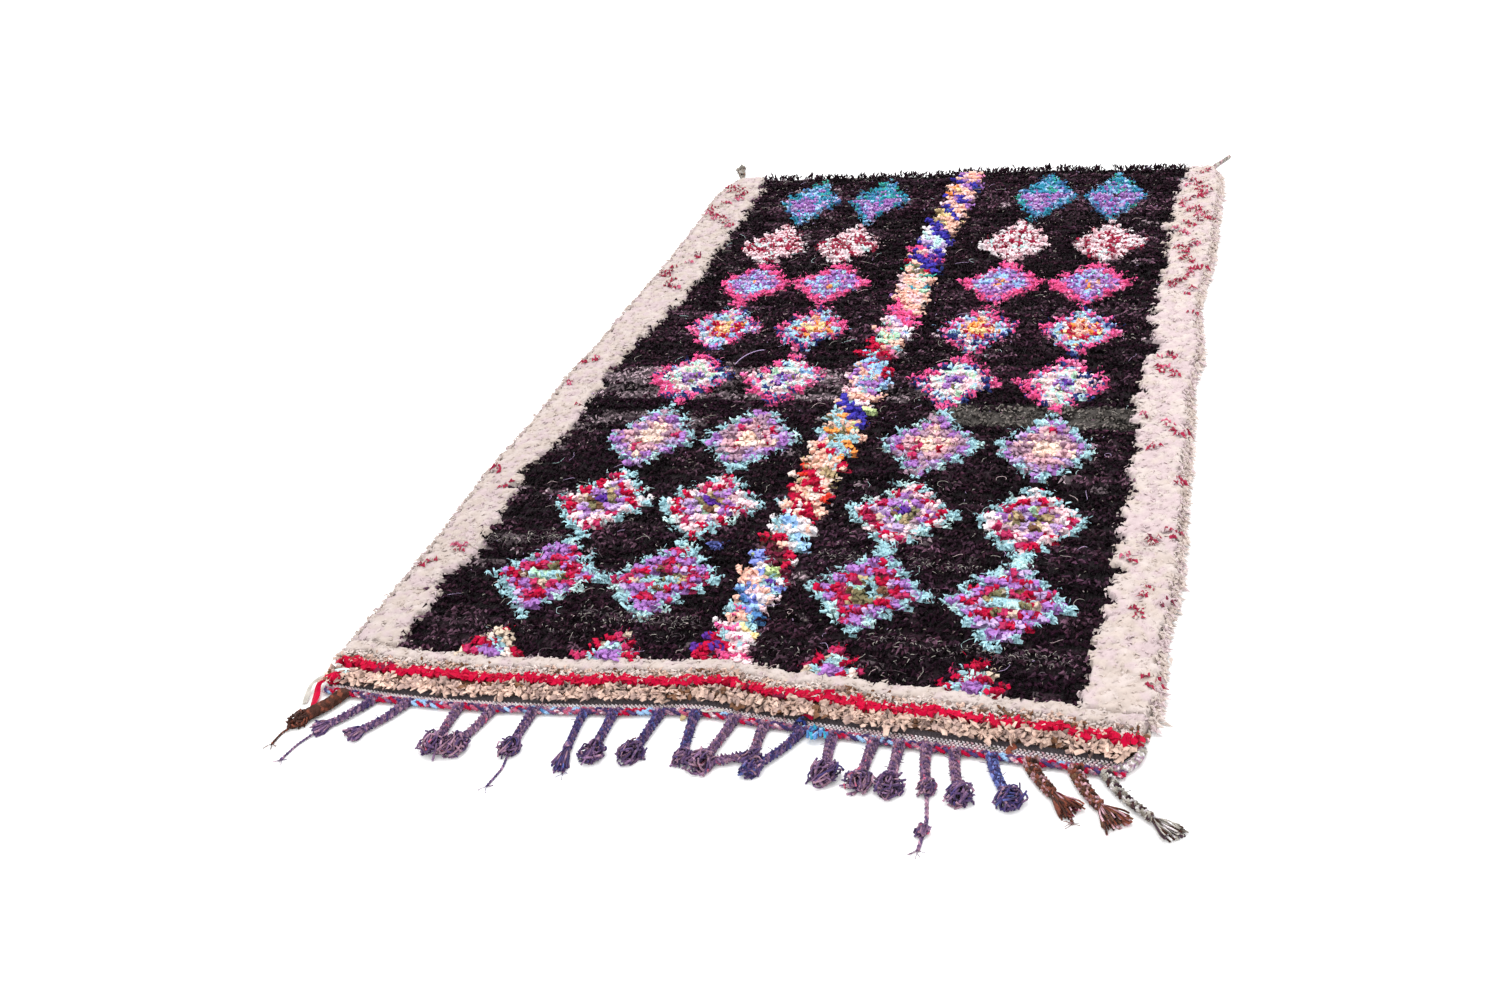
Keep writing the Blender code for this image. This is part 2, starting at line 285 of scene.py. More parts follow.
def cloth(name):
    own = finish[name]
    material = bpy.data.materials.new(name)
    material.use_nodes = True
    tree = material.node_tree
    shader = tree.nodes["Principled BSDF"]
    shader.inputs["Roughness"].default_value = own["rough"]
    shader.inputs["Specular IOR Level"].default_value = 0.04
    shader.inputs["Sheen Weight"].default_value = own["sheen"]
    shader.inputs["Sheen Roughness"].default_value = 0.5
    dye = tree.nodes.new("ShaderNodeVertexColor")
    dye.layer_name = "rag"
    spot = tree.nodes.new("ShaderNodeTexCoord")
    grain = tree.nodes.new("ShaderNodeTexNoise")
    grain.inputs["Scale"].default_value = own["grain"]
    grain.inputs["Detail"].default_value = 3
    tree.links.new(spot.outputs["Object"], grain.inputs["Vector"])
    spread = tree.nodes.new("ShaderNodeMapRange")
    spread.inputs["From Min"].default_value = 0.3
    spread.inputs["From Max"].default_value = 0.7
    spread.inputs["To Min"].default_value = 1 - own["mottle"]
    spread.inputs["To Max"].default_value = 1 + own["mottle"] / 2
    tree.links.new(grain.outputs["Fac"], spread.inputs["Value"])
    worn = tree.nodes.new("ShaderNodeVectorMath")
    worn.operation = "SCALE"
    tree.links.new(dye.outputs["Color"], worn.inputs[0])
    tree.links.new(spread.outputs["Result"], worn.inputs["Scale"])
    tree.links.new(worn.outputs["Vector"], shader.inputs["Base Color"])
    bump = tree.nodes.new("ShaderNodeBump")
    bump.inputs["Strength"].default_value = own["bump"]
    bump.inputs["Distance"].default_value = own["depth"]
    tree.links.new(grain.outputs["Fac"], bump.inputs["Height"])
    tree.links.new(bump.outputs["Normal"], shader.inputs["Normal"])
    return material


ragCloth, fluffCloth, woolCloth, yarnCloth = (cloth(name) for name in finish)
print("materials made")

# the knots' chart
knots = dict(column=0.0145, row=0.014, nearGap=0.094, farGap=0.008, side=0.009, jitter=0.0028, seed=5)

borders = (  # place along the rug, inner edge of the left and right cream border
    (-1.02, -0.577, 0.560), (-0.92, -0.583, 0.565), (-0.81, -0.600, 0.572), (-0.75, -0.574, 0.580),
    (-0.62, -0.585, 0.571), (-0.52, -0.595, 0.575), (-0.45, -0.604, 0.570), (-0.38, -0.580, 0.567),
    (-0.22, -0.578, 0.562), (-0.10, -0.589, 0.542), (0.05, -0.586, 0.565), (0.14, -0.574, 0.562),
    (0.25, -0.556, 0.560), (0.40, -0.549, 0.562), (0.55, -0.555, 0.558), (0.70, -0.552, 0.553),
    (0.88, -0.552, 0.553), (1.00, -0.560, 0.556), (1.14, -0.574, 0.571),
)
borderShade = (0.82, 0.91)  # left and right: painted shade that dims the cream borders, the left one more, to offset the key light
borderMix = dict(fleece=42, snow=26, petal=32)
pinkerMix = dict(petal=54, snow=36, fleece=10)
fleckMix = dict(burgundy=70, rose=20, maroon=10)
fleckLines = (  # zigzags of flecks along the borders, and the chance of a fleck at a knot on them
    (((-0.650, 1.070), (-0.585, 0.995), (-0.665, 0.905), (-0.566, 0.785)), 0.75),
    (((-0.566, 0.600), (-0.640, 0.490), (-0.577, 0.376)), 0.70),
    (((0.576, 1.030), (0.617, 0.955), (0.570, 0.880), (0.640, 0.795), (0.565, 0.730)), 0.72),
    (((0.622, 0.645), (0.588, 0.610), (0.605, 0.530), (0.634, 0.508), (0.576, 0.420), (0.622, 0.370)), 0.66),
)
fleckSpots = (
    (0.613, 1.105), (0.588, 0.700), (0.640, 0.270), (0.605, 0.087), (0.594, 0.018), (0.617, -0.016),
    (0.576, -0.160), (0.622, -0.194), (0.640, -0.234), (0.605, -0.275), (0.651, -0.407), (0.651, -0.563),
    (0.622, -0.598), (0.594, -0.644), (0.628, -0.724), (0.660, -0.764), (0.622, -0.793), (0.650, -0.960),
    (-0.646, 0.020), (-0.655, -0.100), (-0.583, -0.166), (-0.660, -0.460), (-0.610, -0.520),
    (-0.606, -0.730), (-0.646, -0.800),
)
fleckReach = (0.0114, 0.0108)  # how near a knot lies to a line or a spot to take the fleck

fieldMix = dict(ink=58, soot=26, charcoal=12, plum=4)
streaks = ((0.76, 1.0, "plum", 0.42), (0.0, 0.20, "charcoal", 0.60), (0.20, 0.27, "ash", 0.25))
wornPatches = (  # from and to across, from and to along, dye, share of the knots
    (-0.60, -0.04, -0.135, 0.020, "ash", 0.70), (-0.60, -0.24, -0.178, -0.135, "ink", 1.0),
    (-0.60, -0.30, -0.270, -0.178, "ash", 0.50), (0.03, 0.17, -0.135, -0.080, "ash", 0.45),
    (0.20, 0.57, -0.128, -0.095, "ink", 1.0), (0.18, 0.57, -0.225, -0.128, "moss", 0.90),
    (0.03, 0.17, -0.77, -0.60, "plum", 0.55), (0.23, 0.34, -0.77, -0.60, "plum", 0.55),
    (-0.58, 0.57, 0.90, 1.00, "charcoal", 0.30), (0.23, 0.57, 0.79, 0.93, "charcoal", 0.42),
    (-0.58, -0.22, 0.66, 0.82, "charcoal", 0.26), (-0.58, -0.10, -0.64, -0.56, "plum", 0.30),
    (0.02, 0.16, -0.81, -0.73, "ash", 0.28), (-0.58, -0.44, -0.73, -0.66, "ash", 0.30),
    (-0.56, -0.40, -0.97, -0.93, "charcoal", 0.40), (-0.1, 0.57, 0.26, 0.34, "charcoal", 0.25),
    (-0.143, -0.115, -0.691, -0.669, "bluebell", 1.0),
)

diamondRows = (  # far tip, middle, near tip, half width, place of the four across, look
    (1.100, 0.956, 0.806, 0.075, (-0.388, -0.204, 0.226, 0.404), "sea"),
    (0.795, 0.657, 0.554, 0.086, (-0.405, -0.216, 0.197, 0.418), "fleckedWhite"),
    (0.548, 0.439, 0.328, 0.092, (-0.391, -0.199, 0.203, 0.404), "pinkAndViolet"),
    (0.311, 0.202, 0.087, 0.088, (-0.391, -0.184, 0.192, 0.410), "fire"),
    (0.070, -0.039, -0.160, 0.092, (-0.388, -0.179, 0.186, 0.404), "mint"),
    (-0.171, -0.298, -0.418, 0.098, (-0.388, -0.176, 0.186, 0.406), "dusty"),
    (-0.430, -0.546, -0.667, 0.100, (-0.394, -0.181, 0.186, 0.416), "redRing"),
    (-0.667, -0.793, -0.913, 0.100, (-0.405, -0.187, 0.180, 0.413), "redViolet"),
    (-0.946, -1.045, -1.160, 0.068, (-0.411, -0.204, 0.175, 0.395), "halfRed"),
)
looks = {  # rings from the rim inwards: how far out each starts, 1 at the rim, and its dyes
    "sea": ((0.84, dict(teal=50, blue=26, seaGreen=16, sky=8)),
            (0.0, dict(teal=34, blue=14, seaGreen=12, sky=22, violet=18))),
    "seaLow": ((0.84, dict(teal=44, blue=30, seaGreen=6, sky=20)),
               (0.0, dict(violet=60, lilac=24, sky=8, teal=8))),
    "fleckedWhite": ((0.86, dict(palePink=46, dustyPink=12, white=32, burgundy=10)),
                     (0.0, dict(white=24, palePink=26, dustyPink=4, burgundy=42, frost=4))),
    "pinkAndViolet": ((0.82, dict(hotPink=88, pink=12)),
                      (0.30, dict(violet=50, lilac=16, sky=18, aqua=11, pink=5)),
                      (0.0, dict(violet=30, orange=20, peach=14, sky=22, lilac=14))),
    "fire": ((0.84, dict(hotPink=62, navy=22, pink=10, sky=6)),
             (0.56, dict(aqua=36, sky=26, white=12, navy=12, violet=8, pink=6)),
             (0.22, dict(peach=20, crimson=34, orange=20, yellow=10, white=8, violet=8)),
             (0.0, dict(yellow=44, peach=36, orange=14, violet=6))),
    "mint": ((0.84, dict(hotPink=66, navy=24, pink=10)),
             (0.62, dict(navy=24, sky=20, hotPink=14, palePink=24, frost=18)),
             (0.32, dict(ivory=32, palePink=34, frost=18, mint=16)),
             (0.0, dict(violet=54, amethyst=14, olive=16, sky=6, lilac=10))),
    "dusty": ((0.90, dict(aqua=84, frost=16)),
              (0.68, dict(violet=46, lilac=26, heather=28)),
              (0.33, dict(dustyPink=46, heather=26, shell=10, raspberry=8, crimson=4, lilac=6)),
              (0.0, dict(shell=66, cream=32, raspberry=2))),
    "redRing": ((0.90, dict(aqua=84, frost=16)),
                (0.60, dict(white=16, palePink=36, crimson=26, raspberry=22)),
                (0.36, dict(violet=42, lilac=26, palePink=16, beige=8, heather=8)),
                (0.14, dict(olive=28, gold=20, brown=20, lilac=10, mint=10, beige=12)),
                (0.0, dict(amethyst=74, white=14, gold=12))),
    "redViolet": ((0.89, dict(aqua=84, frost=16)),
                  (0.66, dict(violet=56, crimson=14, raspberry=20, lilac=10)),
                  (0.42, dict(crimson=44, raspberry=26, violet=24, lilac=6)),
                  (0.26, dict(brown=26, gold=10, raspberry=10, beige=16, olive=22, aqua=16)),
                  (0.0, dict(aqua=72, mint=14, frost=8, olive=6))),
    "halfRed": ((0.84, dict(crimson=64, raspberry=24, beige=12)),
                (0.76, dict(beige=46, cream=24, crimson=30)),
                (0.58, dict(aqua=80, frost=14, crimson=6)),
                (0.0, dict(violet=88, raspberry=12))),
}

bandLine = (  # place along the rug, middle of the central band, half its width
    (-1.03, 0.004, 0.026), (-0.90, -0.008, 0.036), (-0.75, -0.005, 0.042), (-0.50, 0.000, 0.040),
    (-0.20, 0.002, 0.041), (0.10, 0.004, 0.037), (0.30, 0.010, 0.040), (0.50, 0.000, 0.038),
    (0.66, -0.005, 0.042), (0.90, 0.012, 0.036), (1.14, 0.006, 0.032),
)
bandSlant = 1.35
bandStripes = (  # how far down the rug each stripe reaches, and its dyes
    (1.128, dict(peach=50, palePink=35, pink=15)), (1.095, dict(violet=50, lilac=20, peach=30)),
    (1.065, dict(peach=60, palePink=40)), (1.030, dict(cobalt=54, navy=14, violet=32)),
    (0.965, dict(peach=42, orange=14, yellow=14, palePink=30)),
    (0.925, dict(cobalt=50, violet=34, orange=16)), (0.872, dict(peach=60, palePink=40)),
    (0.838, dict(cobalt=70, blue=12, peach=18)), (0.770, dict(yellow=28, peach=52, gold=20)),
    (0.715, dict(cobalt=76, navy=10, violet=14)), (0.650, dict(frost=38, white=30, lilac=32)),
    (0.625, dict(cobalt=64, lilac=36)), (0.578, dict(peach=34, hotPink=34, palePink=16, amethyst=16)),
    (0.538, dict(cobalt=68, navy=8, hotPink=24)),
    (0.480, dict(seaGreen=16, peach=32, crimson=14, white=24, olive=14)),
    (0.400, dict(peach=38, teal=20, palePink=28, mint=14)), (0.305, dict(peach=66, palePink=28, cream=6)),
    (0.240, dict(hotPink=50, pink=22, violet=20, seaGreen=8)),
    (0.195, dict(palePink=34, lilac=30, white=16, sky=20)),
    (0.100, dict(aqua=34, mint=20, peach=26, pink=20)), (0.055, dict(crimson=46, maroon=30, aqua=24)),
    (0.000, dict(crimson=40, sky=40, violet=20)), (-0.085, dict(violet=30, peach=30, sky=26, aqua=14)),
    (-0.145, dict(palePink=26, peach=32, lime=14, white=18, hotPink=10)),
    (-0.195, dict(cobalt=66, blue=14, aqua=20)),
    (-0.290, dict(peach=32, orange=20, aqua=24, lime=10, olive=14)),
    (-0.335, dict(lilac=26, aqua=24, violet=20, olive=14, orange=16)),
    (-0.370, dict(crimson=46, peach=30, aqua=24)), (-0.440, dict(cream=30, peach=46, gold=24)),
    (-0.475, dict(crimson=72, scarlet=28)), (-0.520, dict(peach=46, gold=20, cream=34)),
    (-0.560, dict(crimson=70, white=30)), (-0.600, dict(peach=26, white=34, crimson=40)),
    (-0.650, dict(aqua=36, sky=34, white=30)), (-0.690, dict(white=30, crimson=34, peach=36)),
    (-0.745, dict(bark=40, maroon=40, crimson=20)),
    (-0.800, dict(periwinkle=30, white=20, aqua=20, lime=12, amethyst=18)),
    (-0.845, dict(peach=46, white=26, palePink=28)), (-0.885, dict(periwinkle=44, blue=24, sky=32)),
    (-0.930, dict(aqua=30, hotPink=26, yellow=20, gold=14, peach=10)),
    (-1.100, dict(palePink=36, hotPink=26, white=24, aqua=14)),
)
bandFoot = dict(across=-0.040, along=-0.988, wide=0.034, long=0.050)
bandFootMix = dict(crimson=52, aqua=26, amethyst=22)
black, cream, bright, band = range(4)


def layOut():
    middle = np.array([-0.6, 0.6])
    near, far = nearEdge(middle).mean(), farEdge(middle).mean()
    low, high = near + knots["nearGap"], far - knots["farGap"]
    rows = 2 * round((high - low) / knots["row"] / 2)
    columns = round((rightEdge(0) - leftEdge(0) - 2 * knots["side"]) / knots["column"])
    return dict(near=near, far=far, low=low, high=high, rows=rows, columns=columns)


field = layOut()


def bowed(x, flat):
    # rows follow the bowed near edge and the far edge, and run straight between them
    up = ((flat - field["low"]) / (field["high"] - field["low"])).clip(0, 1)
    return flat + (nearEdge(x) - field["near"]) * (1 - up) ** 4 + (farEdge(x) - field["far"]) * up ** 5


def knotPlaces():
    row, column = np.mgrid[0:field["rows"], 0:field["columns"]]
    rise = (field["high"] - field["low"]) / field["rows"]
    flat = field["low"] + rise * (row + 0.5)
    left, right = leftEdge(flat) + knots["side"], rightEdge(flat) - knots["side"]
    x = left + (right - left) * (column + 0.25 + 0.5 * (row % 2)) / field["columns"]
    knotRow = row // 2
    pairY = field["low"] + rise * (2 * knotRow + 1)  # both rows of a pair share one place on the chart
    return [a.ravel() for a in (x, bowed(x, flat), pairY, knotRow, column, row % 2)]


def chart(x, y, knotRow, column, rng):
    count = len(x)
    roll = rng.random(count)
    shift = rng.integers(0, 2, knotRow.max() + 1)[knotRow]
    pair = rng.random((knotRow.max() + 1, column.max() + 2))[knotRow, (column + shift) // 2]
    held = np.where(rng.random(count) < 0.62, pair, roll)  # neighbours in the band often share one rag
    knotted = np.where(rng.random(count) < 0.22, pair, roll)
    second = rng.random(count)
    rowTone = rng.normal(0, 0.10, knotRow.max() + 1)[knotRow]
    soft = patches(x + 2, y * 2 + 4, 0.09, 21)
    dye = pick(fieldMix, (roll * 0.75 + 0.5 * (soft - 0.25) + rowTone).clip(0, 0.999))
    streak = patches(x * 0.8 + 3, knotRow * 0.31 + 2, 0.11, 26)
    for low, high, name, share in streaks:
        dye[(streak > low) & (streak < high) & (rng.random(count) < share)] = dyeNames.index(name)
    group = np.full(count, black)
    for fromX, toX, fromY, toY, name, share in wornPatches:
        ragged = 0.02 * (patches(x + 3, y + 3, 0.05, 31) - 0.5)
        there = (x > fromX + ragged) & (x < toX + ragged) & (y > fromY) & (y < toY)
        dye[there & (rng.random(count) < share)] = dyeNames.index(name)

    table = np.array(borders)
    step = rng.normal(0, 0.006, (knotRow.max() + 1, 2))[knotRow]
    inner = dict(left=np.interp(y, table[:, 0], table[:, 1]) + step[:, 0])
    inner["right"] = np.interp(y, table[:, 0], table[:, 2]) + step[:, 1]
    onBorder = dict(left=x < inner["left"], right=x > inner["right"])
    pinker = (y < 0.42) & (y > -0.62)
    for side in ("left", "right"):
        on = onBorder[side]
        dye[on] = pick(borderMix, roll[on])
        group[on] = cream
    dye[onBorder["right"] & pinker] = pick(pinkerMix, roll[onBorder["right"] & pinker])
    flecked = np.zeros(count, bool)
    for corners, chance in fleckLines:
        for start, end in zip(corners, corners[1:]):
            run = np.array(end) - start
            t = (((x - start[0]) * run[0] + (y - start[1]) * run[1]) / (run @ run)).clip(0, 1)
            away = np.hypot(x - start[0] - t * run[0], y - start[1] - t * run[1])
            flecked |= (away < fleckReach[0]) & (rng.random(count) < chance)
    for spotX, spotY in fleckSpots:
        flecked |= np.hypot(x - spotX, (y - spotY) * 0.7) < fleckReach[1]
    flecked &= group == cream
    other = dye.copy()
    dye[flecked] = pick(fleckMix, roll[flecked])

    table = np.array(bandLine)
    tooth = 0.007 * np.where(knotRow % 2, 1, -1) * rng.uniform(0.2, 1.4, count)
    middle = np.interp(y, table[:, 0], table[:, 1])
    half = np.interp(y, table[:, 0], table[:, 2])
    inBand = (np.abs(x - middle + tooth) < half) & (group == black)
    down = y + bandSlant * (x - middle)
    foot = np.array([row[0] for row in bandStripes])
    stripe = (down[:, None] < foot).sum(1).clip(0, len(bandStripes) - 1)
    for k, (_, mix) in enumerate(bandStripes):
        on = inBand & (stripe == k)
        other[on] = pick(mix, second[on])
        dye[on] = pick({name: share ** 1.25 for name, share in mix.items()}, held[on])
    group[inBand] = band
    aside, ahead = np.abs(x - bandFoot["across"]), np.abs(y - bandFoot["along"])
    atFoot = aside / bandFoot["wide"] + ahead / bandFoot["long"] < 1
    dye[atFoot] = pick(bandFootMix, roll[atFoot])
    other[atFoot] = dye[atFoot]
    group[atFoot] = band

    rim = np.zeros(count)
    for top, mid, bottom, wide, places, look in diamondRows:
        for place in places:
            high = np.where(y > mid, top - mid, mid - bottom)
            out = np.abs(x - place) / wide + np.abs(y - mid) / high
            out = out + rng.normal(0, 0.030, count)
            on = (out < 1.035) & (group == black)
            group[on] = bright
            for k, (start, mix) in enumerate(looks[look]):
                end = 9 if k == 0 else looks[look][k - 1][0]
                ring = on & (out >= start) & (out < end)
                if look == "sea":
                    low = ring & (y < mid + 0.01)
                    dye[low] = pick(looks["seaLow"][k][1], knotted[low])
                    other[low] = pick(looks["seaLow"][k][1], second[low])
                    ring &= ~low
                dye[ring] = pick(mix, knotted[ring])
                other[ring] = pick(mix, second[ring])
            rim[on & (out >= looks[look][0][0])] = 1
    same = (group == band) & (rng.random(count) < 0.75)
    same |= (group == bright) & (y < -0.17) & (rng.random(count) < 0.85)
    return dye, np.where(same, dye, other), group, rim


def addLean(x, y, rng):
    # tufts stand up and lean a little towards the near end, and fall outwards over the rim
    lean = np.zeros((len(x), 2))
    lean[:, 1] = -0.004
    lean += 0.004 * np.stack([patches(x + 2, y + 2, 0.11, k) - 0.5 for k in (7, 8)], 1) * 2
    fall = np.zeros(len(x))
    for gap, way in (
        (x - leftEdge(y), (-1, 0)), (rightEdge(y) - x, (1, 0)),
        (y - nearEdge(x), (0, -1)), (farEdge(x) - y, (0, 1)),
    ):
        near = (1 - gap / 0.030).clip(0, 1)
        lean += near[:, None] * 0.010 * np.array(way)
        fall = np.maximum(fall, near)
    return lean, fall


def fan(rng, x, y, lean, fall, colour, cut, stand=None, paired=None):
    # every tuft gives a few strips that spread from its knot
    each = cut["strips"]
    total = len(x) * each
    stand = np.ones(len(x)) if stand is None else stand
    x, y, fall, stand = (np.repeat(a, each) for a in (x, y, fall, stand))
    lean, colour = np.repeat(lean, each, axis=0), np.repeat(colour, each, axis=0)
    order = np.tile(np.arange(each), total // each)
    if paired is not None:  # some of its strips are of a second rag
        colour = np.where((order >= each - 2)[:, None], np.repeat(paired, each, axis=0), colour)
    turn = np.repeat(rng.uniform(0, fullTurn, total // each), each)
    turn += order * fullTurn / each + rng.normal(0, 0.4, total)
    if cut.get("along"):
        turn = (order % 2) * fullTurn / 2 + rng.normal(0, cut["along"], total)
    size = np.repeat(rng.uniform(0.85, 1.15, total // each), each)
    reach = rng.uniform(*cut["reach"], total) * size
    rise = rng.uniform(*cut["rise"], total) * size * stand * (1 - 0.35 * fall)
    out = np.stack([np.cos(turn), np.sin(turn) * cut.get("narrow", 1)], 1)
    bend = cut.get("bend", 1.9) + 0.75 * fall + rng.normal(0, 0.12, total)
    root = np.stack([x, y], 1) + rng.normal(0, cut["scatter"], (total, 2))
    steps = np.array(cut["steps"])  # place along the strip, share of its width, share of its colour, which is painted shade near the knot and painted light towards the tip
    path = np.empty((total, len(steps), 3))
    wobble = rng.normal(0, cut["wobble"], (total, len(steps), 2))
    for k, (t, _, _) in enumerate(steps):
        path[:, k, :2] = root + out * (reach * t ** 1.2)[:, None] + lean * t ** 1.5 + wobble[:, k] * t
        path[:, k, 2] = cut["lift"] + rise * np.sin(bend * t)
    if cut.get("onBed"):  # the strips follow the bed down over its rounded rim
        gap = np.minimum(path[:, :, 0] - leftEdge(path[:, :, 1]), rightEdge(path[:, :, 1]) - path[:, :, 0])
        inward = (gap / bed["round"]).clip(0, 1)
        path[:, :, 2] -= bed["sink"] * (1 - np.sqrt(1 - (1 - inward) ** 2))
    path[:, :, 2] = path[:, :, 2].clip(0.0012)
    across = np.stack([-out[:, 1], out[:, 0], np.zeros(total)], 1)
    wide = rng.uniform(*cut["wide"], total)[:, None] * steps[:, 1]
    thick = rng.uniform(*cut["thick"], total)[:, None] * steps[:, 1] ** 0.5
    roll = rng.normal(0, 0.5, total)[:, None]
    roll = roll + np.linspace(0, 1, len(steps)) * rng.normal(0, 0.6, total)[:, None]
    tone = rng.normal(1, cut["uneven"], total).clip(0.6, 1.5)
    # painted shade and light along each strip, times the strip's own random tone
    tint = colour[:, None, :] * (tone[:, None] * steps[:, 2])[:, :, None]
    return creased(sweep(path, wide, thick, tint, across, roll=roll, rootPoint=True, tipPoint=cut["pointed"]))


# the last number of each step scales the strip's colour: painted shade low down by the knot, painted light at
# the tips
woolCut = dict(strips=5, narrow=0.6, reach=(0.006, 0.016), rise=(0.0080, 0.0150), wide=(0.0058, 0.0098),
               thick=(0.0028, 0.0044), scatter=0.0036, wobble=0.0022, lift=0.0050, uneven=0.30, pointed=True,
               steps=((0, 0, 0.20), (0.60, 1.0, 0.80), (1.0, 0, 1.50)))
creamCut = dict(strips=3, reach=(0.006, 0.014), rise=(0.0026, 0.0044), wide=(0.0048, 0.0082),
                thick=(0.0020, 0.0032), scatter=0.0046, wobble=0.0020, lift=0.0163, uneven=0.02,
                pointed=True, onBed=True, bend=2.5, steps=((0, 0, 1.0), (0.55, 1.0, 1.02), (1.0, 0, 1.04)))
fleckCut = dict(creamCut, strips=6, along=0.50, reach=(0.004, 0.013), rise=(0.0068, 0.0092),
                wide=(0.0070, 0.0105), thick=(0.0030, 0.0044), scatter=0.0026, lift=0.0165)
# the rim wisps are painted lighter all along, painted light against the shade among them
rimCut = dict(creamCut, onBed=False, strips=4, reach=(0.004, 0.012), rise=(0.0050, 0.0080),
              wide=(0.0075, 0.0115), thick=(0.0030, 0.0044), scatter=0.0030, lift=0.0040,
              steps=((0, 0, 1.1), (0.55, 1.0, 1.1), (1.0, 0, 1.1)))
rimWispCut = dict(creamCut, reach=(0.006, 0.013), wide=(0.0060, 0.0095), scatter=0.0030)
spikeCut = dict(strips=4, reach=(0.006, 0.016), rise=(0.0080, 0.0180), wide=(0.0045, 0.0085),
                thick=(0.0022, 0.0036), scatter=0.0050, wobble=0.0020, lift=0.0050, uneven=0.30,
                pointed=True, bend=1.5, steps=((0, 0, 0.3), (0.55, 1.0, 0.8), (1.0, 0, 1.2)))
ragCut = dict(strips=4, reach=(0.003, 0.009), rise=(0.0105, 0.0145), wide=(0.0115, 0.0160),
              thick=(0.0042, 0.0064), scatter=0.0024, wobble=0.0018, lift=0.0068, uneven=0.06, pointed=False,
              steps=((0, 0, 0.80), (0.62, 1.0, 0.96), (1.0, 0.72, 1.05)))
farRagCut = dict(ragCut, wide=(0.0075, 0.0115), thick=(0.0028, 0.0046), uneven=0.09)
fluffyCut = dict(strips=6, reach=(0.004, 0.014), rise=(0.0100, 0.0150), wide=(0.0056, 0.0088),
                 thick=(0.0026, 0.0040), scatter=0.0032, wobble=0.0022, lift=0.0060, uneven=0.07,
                 pointed=True, steps=((0, 0, 0.85), (0.46, 1.0, 0.95), (0.80, 0.75, 1.0), (1.0, 0, 1.06)))
fluffyDyes = ("aqua", "frost", "teal", "seaGreen", "hotPink")
# colour of each pair's rows: painted light on the higher row as a lit ridge, painted shade on the lower one
rowTone = (1.62, 0.50)
rowRise = (1.18, 0.70)  # one row of each pair stands higher
blackShade = dict(low=0.28, spread=1.45, patch=0.024, rows=0.36, least=0.4, most=1.9)
parted = dict(far=0.40, near=-0.34, diamonds=-0.17)  # along, where the pile is parted into pieces
rimRows = dict(start=-1.06, end=1.13, gap=0.0070, fall=0.6)
rimPlaces = ((0.003, 0.005, rimCut), (0.006, 0.009, rimWispCut))  # from the edge, tips outwards by, cut
spikes = dict(start=-0.572, end=0.566, gap=0.0050, jitter=0.002, bare=0.30, over=0.006,
              mix=dict(ink=40, soot=40, charcoal=20))


bed = dict(step=0.0048, reach=0.0135, peak=0.0205, hollow=0.0162, rim=0.0030, round=0.013, sink=0.0145,
           uneven=0.0009)


def addBed(name, x, y, colour, low, high):
    # one lumpy skin of fleece under the cream tufts, kept between low and high across
    rng = np.random.default_rng(53)
    step = bed["step"]
    corner = np.array([x.min(), y.min()]) - 0.02
    across, along = np.ceil((np.array([x.max(), y.max()]) + 0.02 - corner) / step).astype(int)
    height, weight, tint = np.zeros((along, across)), np.zeros((along, across)), np.zeros((along, across, 3))
    peak = bed["peak"] * rng.uniform(0.88, 1.06, len(x))
    row, column = np.round((y - corner[1]) / step).astype(int), np.round((x - corner[0]) / step).astype(int)
    for down in range(-3, 4):
        for right in range(-3, 4):
            i, j = row + down, column + right
            away = np.hypot(corner[0] + j * step - x, corner[1] + i * step - y) / bed["reach"]
            np.maximum.at(height, (i, j), np.where(away < 1, peak - (peak - bed["hollow"]) * away ** 2, 0))
            share = np.exp(-4 * away ** 2)
            np.add.at(weight, (i, j), share)
            np.add.at(tint, (i, j), colour * share[:, None])
    kept = height > 0
    whole = kept[:-1, :-1] & kept[1:, :-1] & kept[:-1, 1:] & kept[1:, 1:]
    inner = np.zeros_like(kept)
    inner[1:-1, 1:-1] = whole[:-1, :-1] & whole[1:, :-1] & whole[:-1, 1:] & whole[1:, 1:]
    px = corner[0] + np.arange(across) * step + rng.normal(0, 0.0010, height.shape)
    py = corner[1] + np.arange(along)[:, None] * step + rng.normal(0, 0.0010, height.shape)
    px = px.clip(low(py), high(py))
    pz = np.where(inner, height + rng.normal(0, bed["uneven"], height.shape), bed["rim"])
    fromEdge = (np.minimum(px - low(py), high(py) - px) / bed["round"]).clip(0, 1)
    pz = np.minimum(pz, bed["rim"] + bed["peak"] * np.sqrt(1 - (1 - fromEdge) ** 2))
    # painted shade, darker in the bed's hollows and lighter on its peaks
    shade = 0.90 + 0.12 * ((height - bed["hollow"]) / (bed["peak"] - bed["hollow"])).clip(0, 1)
    tint = tint / (weight + 1e-9)[..., None] * shade[..., None]
    i, j = np.nonzero(whole)
    a, b, c, d = i * across + j, i * across + j + 1, (i + 1) * across + j + 1, (i + 1) * across + j
    faces = np.concatenate([np.stack([a, b, c], 1), np.stack([a, c, d], 1)])
    used, faces = np.unique(faces.ravel(), return_inverse=True)
    points = np.stack([px, py, pz], 2).reshape(-1, 3)[used]
    spots = (points[:, :2] - points[:, :2].min(0)) / np.ptp(points[:, :2], axis=0) * 0.98 + 0.01
    part = (points, faces.reshape(-1, 3), tint.reshape(-1, 3)[used], spots)
    addPiece(name, [part], fluffCloth)
    print(name, triangles[name], "triangles")


